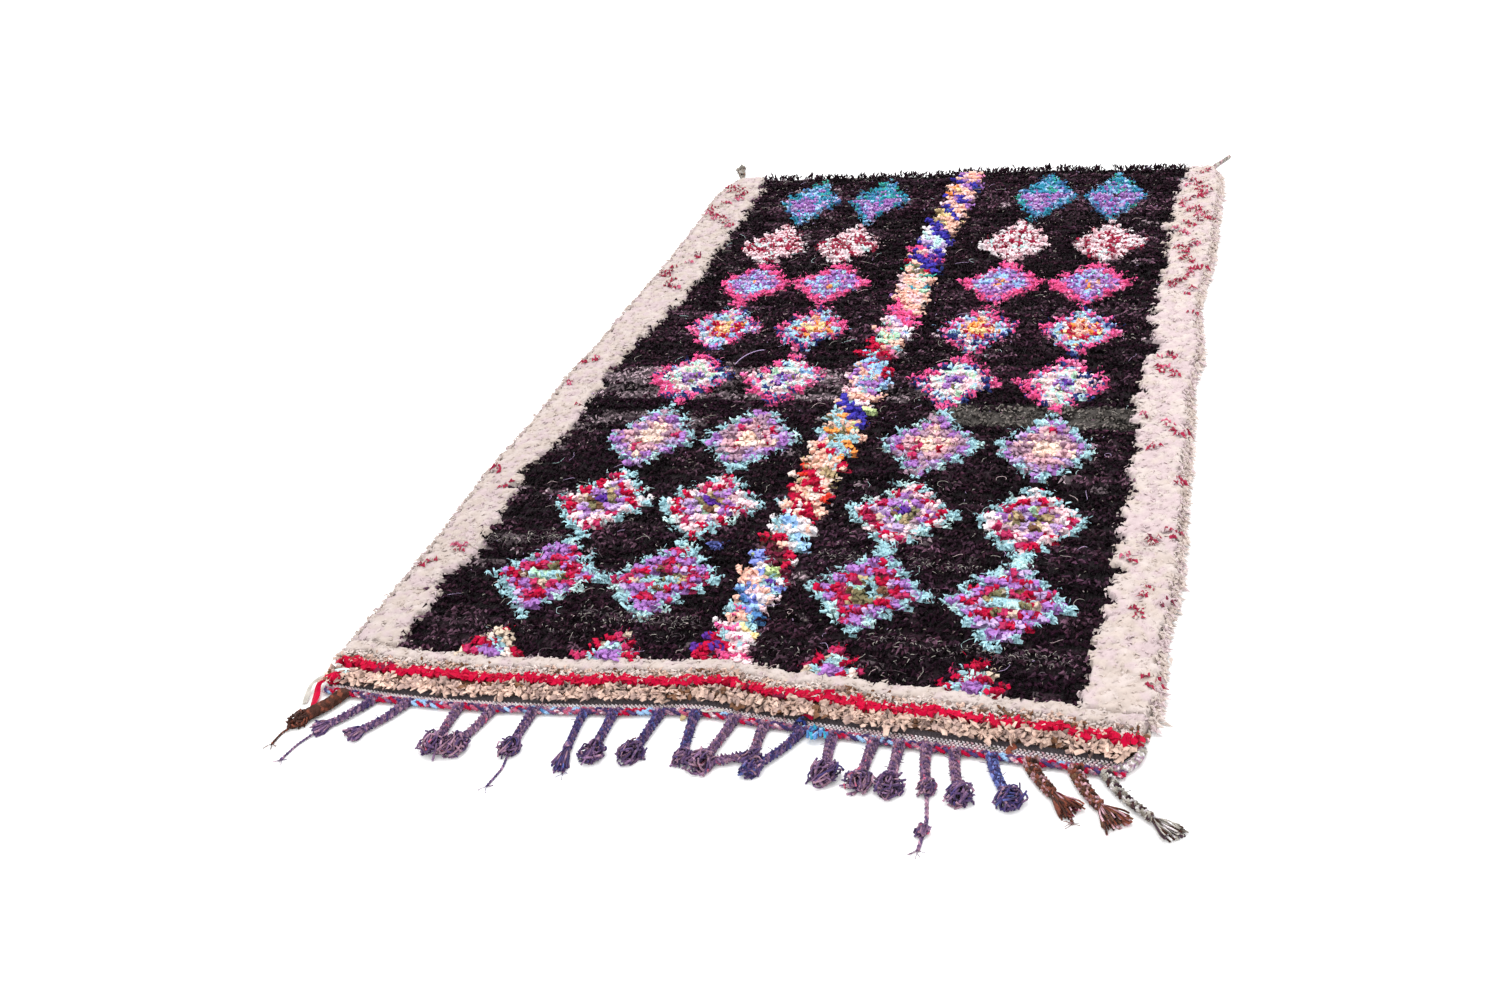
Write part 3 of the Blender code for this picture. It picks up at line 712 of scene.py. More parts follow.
def outerWisps(right, rng):
    # low wisps fall over the outer edge of a border
    rows = np.arange(rimRows["start"], rimRows["end"], rimRows["gap"])
    tone = dyeColours[pick(borderMix, rng.random(len(rows)))] * borderShade[right]
    tufts = []
    for gap, over, cut in rimPlaces:
        out = rightEdge(rows) - gap if right else leftEdge(rows) + gap
        tip = np.stack([over * np.sign(out), 0 * rows], 1)
        tufts.append(fan(rng, out, rows, tip, np.full(len(rows), rimRows["fall"]), tone, cut))
    return tufts


def farSpikes(rng):
    # spiky strips over the far edge
    out = np.arange(spikes["start"], spikes["end"], spikes["gap"])
    out = out + rng.normal(0, spikes["jitter"], len(out))
    out = out[patches(out + 3, 0 * out + 3, 0.011, 58) > spikes["bare"]]
    tip = np.stack([0 * out, np.full(len(out), spikes["over"])], 1)
    tone = dyeColours[pick(spikes["mix"], rng.random(len(out)))]
    y = farEdge(out) - rng.uniform(-0.003, 0.010, len(out))
    return fan(rng, out, y, tip, np.zeros(len(out)), tone, spikeCut)


def addPile():
    rng = np.random.default_rng(knots["seed"])
    x, y, chartY, knotRow, column, odd = knotPlaces()
    dye, other, group, rim = chart(x, chartY, knotRow, column, rng)
    cells = dyeColours[np.where(group == cream, other, dye)].reshape(field["rows"], field["columns"], 3)
    x = x + rng.normal(0, knots["jitter"], len(x)).clip(-0.005, 0.005)
    y = y + rng.normal(0, knots["jitter"], len(y)).clip(-0.005, 0.005)
    lean, fall = addLean(x, y, rng)
    stand = np.where(group == cream, 1, np.array(rowRise)[odd])
    stand = stand * (0.9 + 0.2 * patches(x + 4, y + 4, 0.05, 12))
    wool = group == black
    y[wool] += np.where(odd[wool] == 0, 0.0022, -0.0022)
    lean[wool, 1] -= np.where(odd[wool] == 0, 0.006, 0.001)
    colour = dyeColours[dye] * rng.normal(1, 0.04, len(x))[:, None]
    # painted border shade: the cream knots' colours are dimmed, the left border's more
    paintedBorderShade = np.where(group == cream, np.where(x < 0, *borderShade), 1)[:, None]
    colour *= paintedBorderShade
    clump = patches(x * 0.4 + 4, y + 4, blackShade["patch"], 14)
    clump = blackShade["low"] + blackShade["spread"] * clump
    rowShade = rng.normal(1, blackShade["rows"], knotRow.max() + 1)
    rowShade = rowShade.clip(blackShade["least"], blackShade["most"])[knotRow]
    # painted ridge light and valley shade from rowTone, times soft patches and a random factor for each pair
    # of rows
    colour[wool] *= (np.array(rowTone)[odd] * clump * rowShade)[wool, None]
    paired = np.where(wool[:, None], colour, dyeColours[other] * paintedBorderShade)
    fluffy = np.isin(dye, [dyeNames.index(name) for name in fluffyDyes])
    fluffy &= (group == bright) | (group == band)
    fluffy |= np.isin(dye, [dyeNames.index(name) for name in fleckMix]) & (group == cream)
    fleece = dyeColours[other] * paintedBorderShade
    addBed("fleeceLeft", x[(group == cream) & (x < 0)], y[(group == cream) & (x < 0)],
           fleece[(group == cream) & (x < 0)], lambda at: leftEdge(at) + 0.001, lambda at: at * 0)
    addBed("fleeceRight", x[(group == cream) & (x > 0)], y[(group == cream) & (x > 0)],
           fleece[(group == cream) & (x > 0)], lambda at: at * 0, lambda at: rightEdge(at) - 0.001)
    onField, onBorder, onDiamond = group == black, group == cream, group == bright
    far, near, farDiamonds = y > parted["far"], y <= parted["near"], y > parted["diamonds"]
    for name, where, cuts, material, slot in (
        ("blackPileFar", onField & far, (woolCut, woolCut), woolCloth, "black_pile"),
        ("blackPileMiddle", onField & ~far & ~near, (woolCut, woolCut), woolCloth, "black_pile"),
        ("blackPileNear", onField & near, (woolCut, woolCut), woolCloth, "black_pile"),
        ("creamBorderLeft", onBorder & (x < 0), (creamCut, fleckCut), fluffCloth, "cream_pile"),
        ("creamBorderRight", onBorder & (x > 0), (creamCut, fleckCut), fluffCloth, "cream_pile"),
        ("diamondsFar", onDiamond & farDiamonds, (farRagCut, fluffyCut), ragCloth, "coloured_pile"),
        ("diamondsNear", onDiamond & ~farDiamonds, (ragCut, fluffyCut), ragCloth, "coloured_pile"),
        ("centralBand", group == band, (ragCut, fluffyCut), ragCloth, "coloured_pile"),
    ):
        tufts = []
        for part, cut in zip((where & ~fluffy, where & fluffy), cuts):
            if part.any():
                tufts.append(fan(rng, x[part], y[part], lean[part], fall[part], colour[part], cut,
                                 stand[part], paired[part]))
        if cuts[0] is creamCut:
            tufts += outerWisps(name.endswith("Right"), rng)
        if name == "blackPileFar":
            tufts.append(farSpikes(rng))
        addPiece(name, tufts, material)
        print(name, where.sum(), "tufts", triangles[name], "triangles")
    return dict(x=x, y=y, dye=dye, group=group, rim=rim, cells=cells, row=knotRow)


pile = addPile()

# the woven foundation under the pile, bare along the near end
# dark, coloured and pale: height of the foundation's top under such knots and its painted shade there,
# darkest under the black pile
foundation = dict(thick=0.003, backShade=0.8, bareFrom=0.646, weft=0.0034, warp=0.0062,
                  dark=(0.0095, 0.50), coloured=(0.0128, 0.88), pale=(0.0152, 1.0), uneven=0.0010)
nearStrips = (  # from the near edge, colour of the foundation's top from there on: the roots' dyes, with brown under the ochre rags as painted shade in their hollows
    (-0.011, "bark"), (0.012, "brown"), (0.022, "brown"), (0.032, "cherry"),
    (0.044, "ochre"), (0.066, "fleece"),
)


def weaveCloth():
    material = cloth("yarn").copy()
    material.name = "flatWeave"
    tree = material.node_tree
    spot = tree.nodes.new("ShaderNodeTexCoord")
    waves = []
    for way, period in (("Y", foundation["weft"]), ("X", foundation["warp"])):
        wave = tree.nodes.new("ShaderNodeTexWave")
        wave.bands_direction = way
        wave.inputs["Scale"].default_value = fullTurn / 20 / period
        wave.inputs["Distortion"].default_value = 0.6
        tree.links.new(spot.outputs["Object"], wave.inputs["Vector"])
        waves.append(wave)
    mixed = tree.nodes.new("ShaderNodeMath")
    mixed.operation = "MULTIPLY"
    tree.links.new(waves[0].outputs["Fac"], mixed.inputs[0])
    tree.links.new(waves[1].outputs["Fac"], mixed.inputs[1])
    bump = next(node for node in tree.nodes if node.bl_idname == "ShaderNodeBump")
    bump.inputs["Distance"].default_value = 0.0016
    tree.links.new(mixed.outputs["Value"], bump.inputs["Height"])
    return material


def gridPoints(lines, share):
    flat = np.repeat(np.array(lines)[:, None], len(share), axis=1)
    left, right = leftEdge(flat) + sole["rim"], rightEdge(flat) - sole["rim"]
    x = left + (right - left) * share
    return x, bowed(x, flat)


def gridFaces(down, across, first):
    i, j = np.mgrid[0:down - 1, 0:across - 1]
    a = (i * across + j).ravel() + first
    return np.stack([a, a + 1, a + across + 1, a + across], 1)


def addFoundation():
    rng = np.random.default_rng(9)
    rise = (field["high"] - field["low"]) / field["rows"]
    first = [field["near"] + gap for gap, _ in nearStrips]
    last = [field["far"] - sole["rim"]]
    lines = first + list(field["low"] + rise * np.arange(field["rows"] + 1)) + last
    backLines = first[:1] + list(field["low"] + rise * np.arange(0, field["rows"] + 1, 2)) + last
    share = np.arange(field["columns"] + 1) / field["columns"]
    x, y = gridPoints(lines, share)
    backX, backY = gridPoints(backLines, share)
    down, across = x.shape
    backDown = len(backLines)

    colours = np.empty((down - 1, across - 1, 3))
    for k, (_, name) in enumerate(nearStrips):
        colours[k] = dyeColours[dyeNames.index(name)]
    colours[len(first):-1] = pile["cells"]
    colours[-1] = dyeColours[dyeNames.index("soot")]
    bare = np.zeros(colours.shape[:2], bool)
    bare[0] = True
    bare[1:4] = x[1:4, :-1] > foundation["bareFrom"]
    colours[bare] = dyeColours[dyeNames.index("slate")]
    tone = colours.mean(2)
    kind = np.where(tone > 0.6, 2, np.where(tone > 0.05, 1, 0))
    height, shade = np.array([foundation[k] for k in ("dark", "coloured", "pale")]).T
    # painted shade on the foundation's top where it shows between the strips
    faceHeight = np.where(bare, foundation["thick"], height[kind])
    shading = np.where(bare, 1, shade[kind])
    z = np.full(x.shape, foundation["thick"])
    around = np.stack([faceHeight[:-1, :-1], faceHeight[1:, :-1], faceHeight[:-1, 1:], faceHeight[1:, 1:]])
    lowest = around.min(0)
    z[1:-1, 1:-1] = lowest + rng.normal(0, foundation["uneven"], lowest.shape) * (lowest > 0.004)

    points = np.concatenate([np.stack([x, y, z], 2).reshape(-1, 3),
                             np.stack([backX, backY, 0 * backX], 2).reshape(-1, 3)])
    start = x.size
    top = gridFaces(down, across, 0)
    back = gridFaces(backDown, across, start)[:, ::-1]
    faces = [list(f) for f in top] + [list(f) for f in back]
    for j in range(across - 1):
        faces.append([j + 1, j, start + j, start + j + 1])
        a, b = (down - 1) * across + j, start + (backDown - 1) * across + j
        faces.append([a, a + 1, b + 1, b])
    topOf = [0, len(first)] + list(range(len(first) + 2, down - 1, 2)) + [down - 1]
    for k in range(backDown - 1):
        for j, turned in ((0, False), (across - 1, True)):
            wall = [i * across + j for i in range(topOf[k], topOf[k + 1] + 1)]
            wall += [start + (k + 1) * across + j, start + k * across + j]
            faces.append(wall[::-1] if turned else wall)
    mesh = bpy.data.meshes.new("wovenFoundation")
    mesh.from_pydata(points.tolist(), [], faces)
    backColours = np.concatenate([colours[:1] * 0 + dyeColours[dyeNames.index("slate")],
                                  pile["cells"][::2], colours[-1:]]) * foundation["backShade"]
    loops = np.array([len(f) for f in faces])
    # walls: the near and far ones dark, the side walls along the borders cream in painted shade, so glimpses
    # of them pass for shaded cream pile
    tints = np.concatenate([(colours * shading[..., None]).reshape(-1, 3), backColours.reshape(-1, 3),
                            np.tile([0.06, 0.05, 0.05], (2 * (across - 1) + 2, 1)),
                            np.tile([0.50, 0.43, 0.42], (2 * (backDown - 2), 1))])
    layer = mesh.color_attributes.new("rag", "FLOAT_COLOR", "CORNER")
    rgba = np.ones((loops.sum(), 4), np.float32)
    rgba[:, :3] = np.repeat(tints, loops, axis=0).clip(0, 1)
    layer.data.foreach_set("color", rgba.ravel())
    bake = mesh.uv_layers.new(name="OFBake")
    corner = np.empty(loops.sum(), np.int32)
    mesh.loops.foreach_get("vertex_index", corner)
    low, high = points.min(0), points.max(0)
    spots = (points[corner, :2] - low[:2]) / (high[:2] - low[:2]) * (0.98, 0.48) + 0.01
    spots[4 * len(top):, 1] += 0.5
    bake.uv.foreach_set("vector", spots.astype(np.float32).ravel())
    mesh.polygons.foreach_set("use_smooth", np.arange(len(faces)) < len(top))
    piece = bpy.data.objects.new("wovenFoundation", mesh)
    bpy.context.scene.collection.objects.link(piece)
    mesh.materials.append(weaveCloth())
    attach(piece, "root")
    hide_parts("rug_pile")
    triangles["wovenFoundation"] = int((loops - 2).sum())
    corners = points[top]
    slanted = np.cross(corners[:, 2] - corners[:, 0], corners[:, 3] - corners[:, 1])
    area = 0.5 * np.abs(slanted[:, 2]).sum()
    print("foundation", (high - low).round(3), "area", round(float(area), 3), triangles["wovenFoundation"])
    return piece, (high - low)[:2], area


sheetPiece, sheetSize, sheetArea = addFoundation()

# rag rows across the near end
# the ochre rags are painted almost black at the knot, painted shade for their deep hollows, and painted light
# at the tips
ochreCut = dict(strips=5, reach=(0.003, 0.011), rise=(0.0095, 0.0150), wide=(0.0095, 0.0145),
                thick=(0.0018, 0.0032), scatter=0.0036, wobble=0.0030, lift=0.0065, uneven=0.10,
                pointed=False, steps=((0, 0, 0.05), (0.36, 0.9, 0.28), (0.70, 1.1, 0.90), (1.0, 0.65, 1.20)))
redCut = dict(ragCut, strips=5, along=0.30, reach=(0.005, 0.012), rise=(0.0115, 0.0142),
              wide=(0.0160, 0.0215), thick=(0.0064, 0.0086), scatter=0.0034, wobble=0.0010,
              uneven=0.05, bend=2.3)
speckledCut = dict(fluffyCut, strips=5, wide=(0.0055, 0.0088), rise=(0.0080, 0.0120), lift=0.0100,
                   uneven=0.12)
ochreMix = dict(ochre=62, sand=32, brown=6)
speckledMix = dict(ochre=28, sand=8, snow=56, brown=8)
fluffMix = dict(snow=40, fleece=40, petal=20)
redMix = dict(cherry=97, maroon=3)
endRows = (  # place from the near edge, gap between tufts, from, to, tips towards the near end by, cut, dyes
    (0.011, 0.0088, -0.664, 0.640, 0.007, ochreCut, ochreMix),
    (0.023, 0.0088, -0.664, 0.644, 0.004, ochreCut, ochreMix),
    (0.0375, 0.0070, -0.655, 0.646, 0.002, redCut, redMix),
    (0.049, 0.0085, -0.664, 0.648, 0.003, speckledCut, speckledMix),
    (0.060, 0.0085, -0.664, 0.650, 0.003, speckledCut, speckledMix),
    (0.072, 0.0105, -0.664, 0.650, 0.002, creamCut, fluffMix),
    (0.084, 0.0105, -0.664, 0.650, 0.002, creamCut, fluffMix),
)
endOverhang = 0.006
redShare = ((-0.67, 1.0), (-0.12, 0.97), (-0.05, 0.72), (0.10, 0.68), (0.16, 0.95), (0.30, 0.92),
            (0.36, 0.78), (0.46, 0.82), (0.52, 0.97), (0.65, 1.0))  # place across, share of red knots


def addEndRows():
    rng = np.random.default_rng(17)
    crumpled, parts, fleece, under = [], [], [], []
    for offset, gap, start, end, forward, cut, mix in endRows:
        x = np.arange(start, end, gap)
        x = x + rng.normal(0, gap * 0.18, len(x))
        sway = 0.0022 * np.sin(x * 38 + 1) + 0.0014 * np.sin(x * 97) + rng.normal(0, 0.0016, len(x))
        y = nearEdge(x) + offset + sway
        if cut is ochreCut:
            y = y - endOverhang * (1 - ((x - 0.10) / 0.30).clip(0, 1))
            y = y - endOverhang * ((-0.56 - x) / 0.08).clip(0, 1)
        inside = (x > leftEdge(y) + 0.004) & (x < rightEdge(y) - 0.006)
        x, y = x[inside], y[inside]
        dye = pick(mix, rng.random(len(x)))
        stand = np.full(len(x), 1.0)
        if mix is redMix:
            table = np.array(redShare)
            thin = patches(x + 3, y * 0 + 3, 0.024, 44) > np.interp(x, table[:, 0], table[:, 1])
            dye[thin] = pick(ochreMix, rng.random(thin.sum()))
            stand[thin] = 0.85
        lean = np.stack([rng.normal(0, 0.002, len(x)), np.full(len(x), -forward)], 1)
        sideways = ((x - rightEdge(y) + 0.03) / 0.03).clip(0, 1)
        sideways = sideways - ((leftEdge(y) + 0.03 - x) / 0.03).clip(0, 1)
        lean[:, 0] += 0.006 * sideways
        colour = dyeColours[dye] * (0.86 if cut is creamCut else 1)
        if cut is ochreCut:
            colour = colour * rng.normal(1, 0.08, (len(x), 1)) * np.interp(x, (-0.65, 0), (1.22, 1))[:, None]
        kind = crumpled if cut is ochreCut else fleece if cut is creamCut else parts
        kind.append(fan(rng, x, y, lean, np.abs(sideways) * 0.5, colour, cut, stand))
        if cut is creamCut:
            under.append((x, y, colour))
    addPiece("ochreRags", crumpled, ragCloth)
    addPiece("redAndBeigeRows", parts, ragCloth)
    addPiece("creamRows", fleece, fluffCloth)
    addBed("fleeceRows", *(np.concatenate(part) for part in zip(*under)),
           lambda at: leftEdge(at) + 0.001, lambda at: rightEdge(at) - 0.001)
    print("end rows", triangles["ochreRags"], triangles["redAndBeigeRows"], triangles["creamRows"])


addEndRows()

# twined rows, plaited edge cord and the tassels
edge = dict(flat=0.009, cord=0.013, gap=0.0003)


def bandTop(x):
    return soleNear(x) - edge["gap"]


def evenTurns(count):
    return fullTurn * np.arange(count) / count


def marled(mix, shape, rng, held=1):
    # yarn spun from several dyes, which change every few rings
    tubes, rings = shape
    roll = rng.random((tubes, rings // held + 2))  # held is the count of rings of one dye
    index = (np.arange(rings)[None, :] + rng.integers(0, held, (tubes, 1))) // held
    dye = pick(mix, np.take_along_axis(roll, index, axis=1).ravel())
    tone = rng.normal(1, 0.24, (tubes, rings)).clip(0.5, 1.6)
    return dyeColours[dye].reshape(tubes, rings, 3) * tone[..., None]


def braid(line, size, pitch, yarns, mix, rng, segments=None, sides=3):
    # three strands of a few yarns each, plaited along a line
    along = np.gradient(line, axis=0)
    step = np.linalg.norm(along, axis=1)
    run = np.concatenate([[0], np.cumsum((step[1:] + step[:-1]) / 2)])
    along /= step[:, None]
    side = np.cross(along, (0, 0, 1.0))
    side /= np.linalg.norm(side, axis=1, keepdims=True)
    up = np.cross(side, along)
    size = np.broadcast_to(size, run.shape)
    path, tint = [], []
    for k in range(3):
        turn = fullTurn * (run / pitch + k / 3)
        sideSwing, upSwing = 0.29 * size * np.sin(turn), 0.15 * size * np.sin(2 * turn)
        middle = line + side * sideSwing[:, None] + up * upSwing[:, None]
        colour = marled(mix[k] if isinstance(mix, tuple) else mix, (yarns, len(run)), rng)
        if segments is not None:
            for _ in range(segments["count"]):
                start = rng.integers(0, len(run) - 4)
                span = rng.integers(*segments["span"])
                colour[:, start:start + span] = dyeColours[pick(segments["mix"], rng.random(1))[0]]
        for n, angle in enumerate(evenTurns(yarns)):
            twist = angle + run / pitch * 2.2 * fullTurn
            away = side * np.cos(twist)[:, None] + up * np.sin(twist)[:, None]
            path.append(middle + away * (0.12 * size)[:, None])
            tint.append(colour[n])
    path, tint = np.array(path), np.array(tint)
    thick = 0.235 * size * rng.uniform(0.9, 1.1, (len(path), 1))
    path[:, :, 2] = path[:, :, 2].clip(0.0013)
    across = np.repeat(np.cross((0, 0, 1.0), along)[None], len(path), axis=0)
    return sweep(path, thick, thick * 0.95, tint, across, sides=sides)


def twisted(points, wide, mix, rng, rings=26, yarns=2, turns=7):
    # a thin string of two yarns along a smooth line through the points
    points = np.array(points, float)
    t = np.linspace(0, len(points) - 1, rings)
    line = np.stack([np.interp(t, np.arange(len(points)), points[:, k]) for k in range(3)], 1)
    for _ in range(3):
        line[1:-1] = (line[:-2] + 2 * line[1:-1] + line[2:]) / 4
    along = np.gradient(line, axis=0)
    side = np.cross(along, (0, 0, 1.0))
    side /= np.linalg.norm(side, axis=1, keepdims=True) + 1e-12
    path = []
    for angle in evenTurns(yarns):
        twist = angle + np.linspace(0, turns * fullTurn, rings)
        aside = side * (np.cos(twist) * wide * 0.3)[:, None]
        path.append(line + aside + np.outer(np.sin(twist), (0, 0, wide * 0.3)))
    path = np.array(path)
    path[:, :, 2] = path[:, :, 2].clip(wide * 0.3)
    size = np.full(path.shape[:2], wide * 0.62)
    across = np.repeat(side.mean(0)[None], yarns, axis=0)
    return sweep(path, size, size, marled(mix, path.shape[:2], rng), across, sides=4)


twine = dict(rows=(-0.0066, -0.0016, 0.0034, 0.0080), pitch=0.0064, reach=0.0032, wide=0.0042, height=0.0052,
             # the band narrows to the left
             slim=((-0.65, -0.30, 0.10, 0.40, 0.64), (0.50, 0.55, 0.70, 0.95, 1.0)))
twineMixes = (
    dict(white=56, blush=34, dustyPink=10), dict(white=62, palePink=30, stone=8),
    dict(white=62, palePink=30, mauve=8),
    dict(white=46, palePink=24, dustyPink=14, crimson=8, mauve=8),
)


def addTwining():
    rng = np.random.default_rng(23)
    parts = []
    x = np.linspace(-0.655, 0.634, 180)
    share = np.interp(x, *twine["slim"])
    line = np.stack([x, bandTop(x) - 0.0135 + 0.0105 * share, np.full(len(x), 0.0024)], 1)[None]
    tint = np.repeat(linear("a4838f")[None, None], len(x), axis=1)
    wide = 0.0210 * share[None]
    thick = np.full((1, len(x)), 0.0050)
    parts.append(sweep(line, wide, thick, tint, np.array([[0, -1.0, 0]]), sides=4))
    for k, (gap, mix) in enumerate(zip(twine["rows"], twineMixes)):
        x = np.arange(-0.652, 0.632, twine["pitch"]) + k * twine["pitch"] / 2
        slant = 1 if k % 2 else -1
        t = np.array([-1, -0.5, 0.5, 1]) * twine["reach"]
        path = np.empty((len(x), 4, 3))
        path[:, :, 0] = x[:, None] + t * 0.75
        rowLine = bandTop(x) - 0.0085 + (0.0085 - gap) * np.interp(x, *twine["slim"])
        path[:, :, 1] = rowLine[:, None] + t * slant * 0.62
        path[:, :, 2] = twine["height"] + np.array([-0.0010, 0.0006, 0.0006, -0.0010])
        colour = dyeColours[pick(mix, rng.random(len(x)))] * rng.normal(1, 0.08, (len(x), 1))
        size = np.full((len(x), 4), twine["wide"])
        across = np.repeat(np.array([[0, 1.0, 0]]), len(x), axis=0)
        parts.append(sweep(path, size, size, np.repeat(colour[:, None], 4, axis=1), across,
                           rootPoint=True, tipPoint=True))
    x = np.linspace(-0.660, 0.637, 330)
    y = bandTop(x) - edge["flat"] - edge["cord"] / 2 + 0.0008 * np.sin(x * 60)
    line = np.stack([x, y, np.full(len(x), 0.0072)], 1)
    cordMix = (dict(purple=60, indigo=40), dict(marl=50, rose=26, palePink=24),
               dict(purple=40, mauve=34, rose=26))
    rags = dict(count=24, span=(4, 8), mix=dict(crimson=58, rose=10, sky=24, blue=8))
    parts.append(braid(line, edge["cord"] * 1.16, 0.036, 4, cordMix, rng, segments=rags))
    foot = float(bandTop(0.634))
    turned = [(0.620, foot - 0.008, 0.006), (0.638, foot - 0.001, 0.008), (0.649, foot + 0.014, 0.008),
              (0.655, foot + 0.040, 0.006)]
    greyRose = dict(stone=30, marl=26, white=20, drab=16, mauve=8)
    parts.append(twisted(turned, 0.0125, greyRose, rng, rings=36, yarns=5, turns=3))
    piece = addPiece("twinedEdge", parts, yarnCloth)
    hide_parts("twined_fringe")
    print("twined edge", triangles["twinedEdge"], "triangles")


addTwining()

rustYarn = (dict(rust=50, dustyPink=20, bark=30), dict(bark=75, rust=25), dict(rust=40, maroon=15, bark=45))
plumYarn = (dict(purple=55, indigo=30, marl=15), dict(mauve=50, marl=25, purple=25),
            dict(purple=50, mauve=40, marl=10))
rosyYarn = (dict(marl=45, mauve=35, purple=20), dict(mauve=45, purple=45, marl=10),
            dict(marl=38, purple=42, mauve=12, rose=8))
blueYarn = (dict(indigo=70, purple=20, marl=10), dict(purple=50, bluebell=35, mauve=15),
            dict(indigo=50, mauve=50))
clearYarn = (dict(bluebell=70, periwinkle=30), dict(indigo=50, bluebell=50), dict(periwinkle=50, purple=50))
paleYarn = (dict(white=35, stone=65), dict(bark=55, charcoal=45), dict(stone=50, drab=50))
brownYarn = (dict(rust=30, bark=70), dict(bark=85, rust=15), dict(bark=60, rust=40))
pinkBrown = (dict(dustyPink=50, rust=50), dict(bark=74, brown=26), dict(rust=64, dustyPink=14, brown=22))


def together(mixes):
    whole = {}
    for mix in mixes:
        for name, share in mix.items():
            whole[name] = whole.get(name, 0) + share
    return whole


# each tassel's start, aside, out, half the width of its head, tail, tail aside, shape of its head,
# yarn of its plait and of its head
tassels = (
    (-0.618, -0.036, 0.068, 0.015, 0.050, -0.018, "roving", brownYarn, brownYarn),
    (-0.560, -0.044, 0.072, 0.012, 0.074, -0.030, "blunt", plumYarn, plumYarn),
    (-0.498, -0.040, 0.074, 0.014, 0, 0, "blunt", plumYarn, plumYarn),
    (-0.404, 0.002, 0.078, 0.021, 0, 0, "round", rosyYarn, rosyYarn),
    (-0.345, -0.018, 0.078, 0.021, 0, 0, "round", rosyYarn, rosyYarn),
    (-0.276, 0.000, 0.078, 0.016, 0.080, -0.002, "round", plumYarn, plumYarn),
    (-0.191, 0.006, 0.086, 0.011, 0.034, 0.010, "broom", blueYarn, blueYarn),
    (-0.143, 0.001, 0.082, 0.018, 0, 0, "round", blueYarn, plumYarn),
    (-0.069, -0.009, 0.084, 0.019, 0, 0, "round", blueYarn, plumYarn),
    (-0.012, 0.010, 0.090, 0.014, 0, 0, "round", blueYarn, plumYarn),
    (0.051, -0.015, 0.088, 0.021, 0, 0, "round", rosyYarn, rosyYarn),
    (0.102, 0.002, 0.070, 0.016, 0, 0, "round", rosyYarn, plumYarn),
    (0.162, -0.044, 0.086, 0.014, 0, 0, "round", blueYarn, blueYarn),
    (0.211, 0.007, 0.070, 0.020, 0, 0, "round", rosyYarn, plumYarn),
    (0.275, -0.002, 0.076, 0.018, 0, 0, "round", rosyYarn, rosyYarn),
    (0.314, 0.003, 0.076, 0.020, 0, 0, "round", rosyYarn, plumYarn),
    (0.354, 0.014, 0.076, 0.012, 0.112, 0.012, "round", rosyYarn, rosyYarn),
    (0.396, 0.018, 0.076, 0.018, 0, 0, "round", rosyYarn, plumYarn),
    (0.450, 0.030, 0.072, 0.018, 0, 0, "round", clearYarn, blueYarn),
    (0.505, 0.038, 0.060, 0.016, 0.036, 0.024, "broom", pinkBrown, rustYarn),
    (0.568, 0.040, 0.070, 0.018, 0, 0, "broom", pinkBrown, pinkBrown),
    (0.611, 0.066, 0.080, 0.015, 0, 0, "broom", paleYarn, paleYarn),
)
plait = dict(wide=0.0176, thinWide=0.0148, pitch=0.027, rings=28, yarns=4, bow=1.5, height=0.0072, hairs=12)
head = dict(yarns=70, rings=8, wide=0.0036, broom=0.046, blunt=0.026, curl=0.0042, grown=1.12)


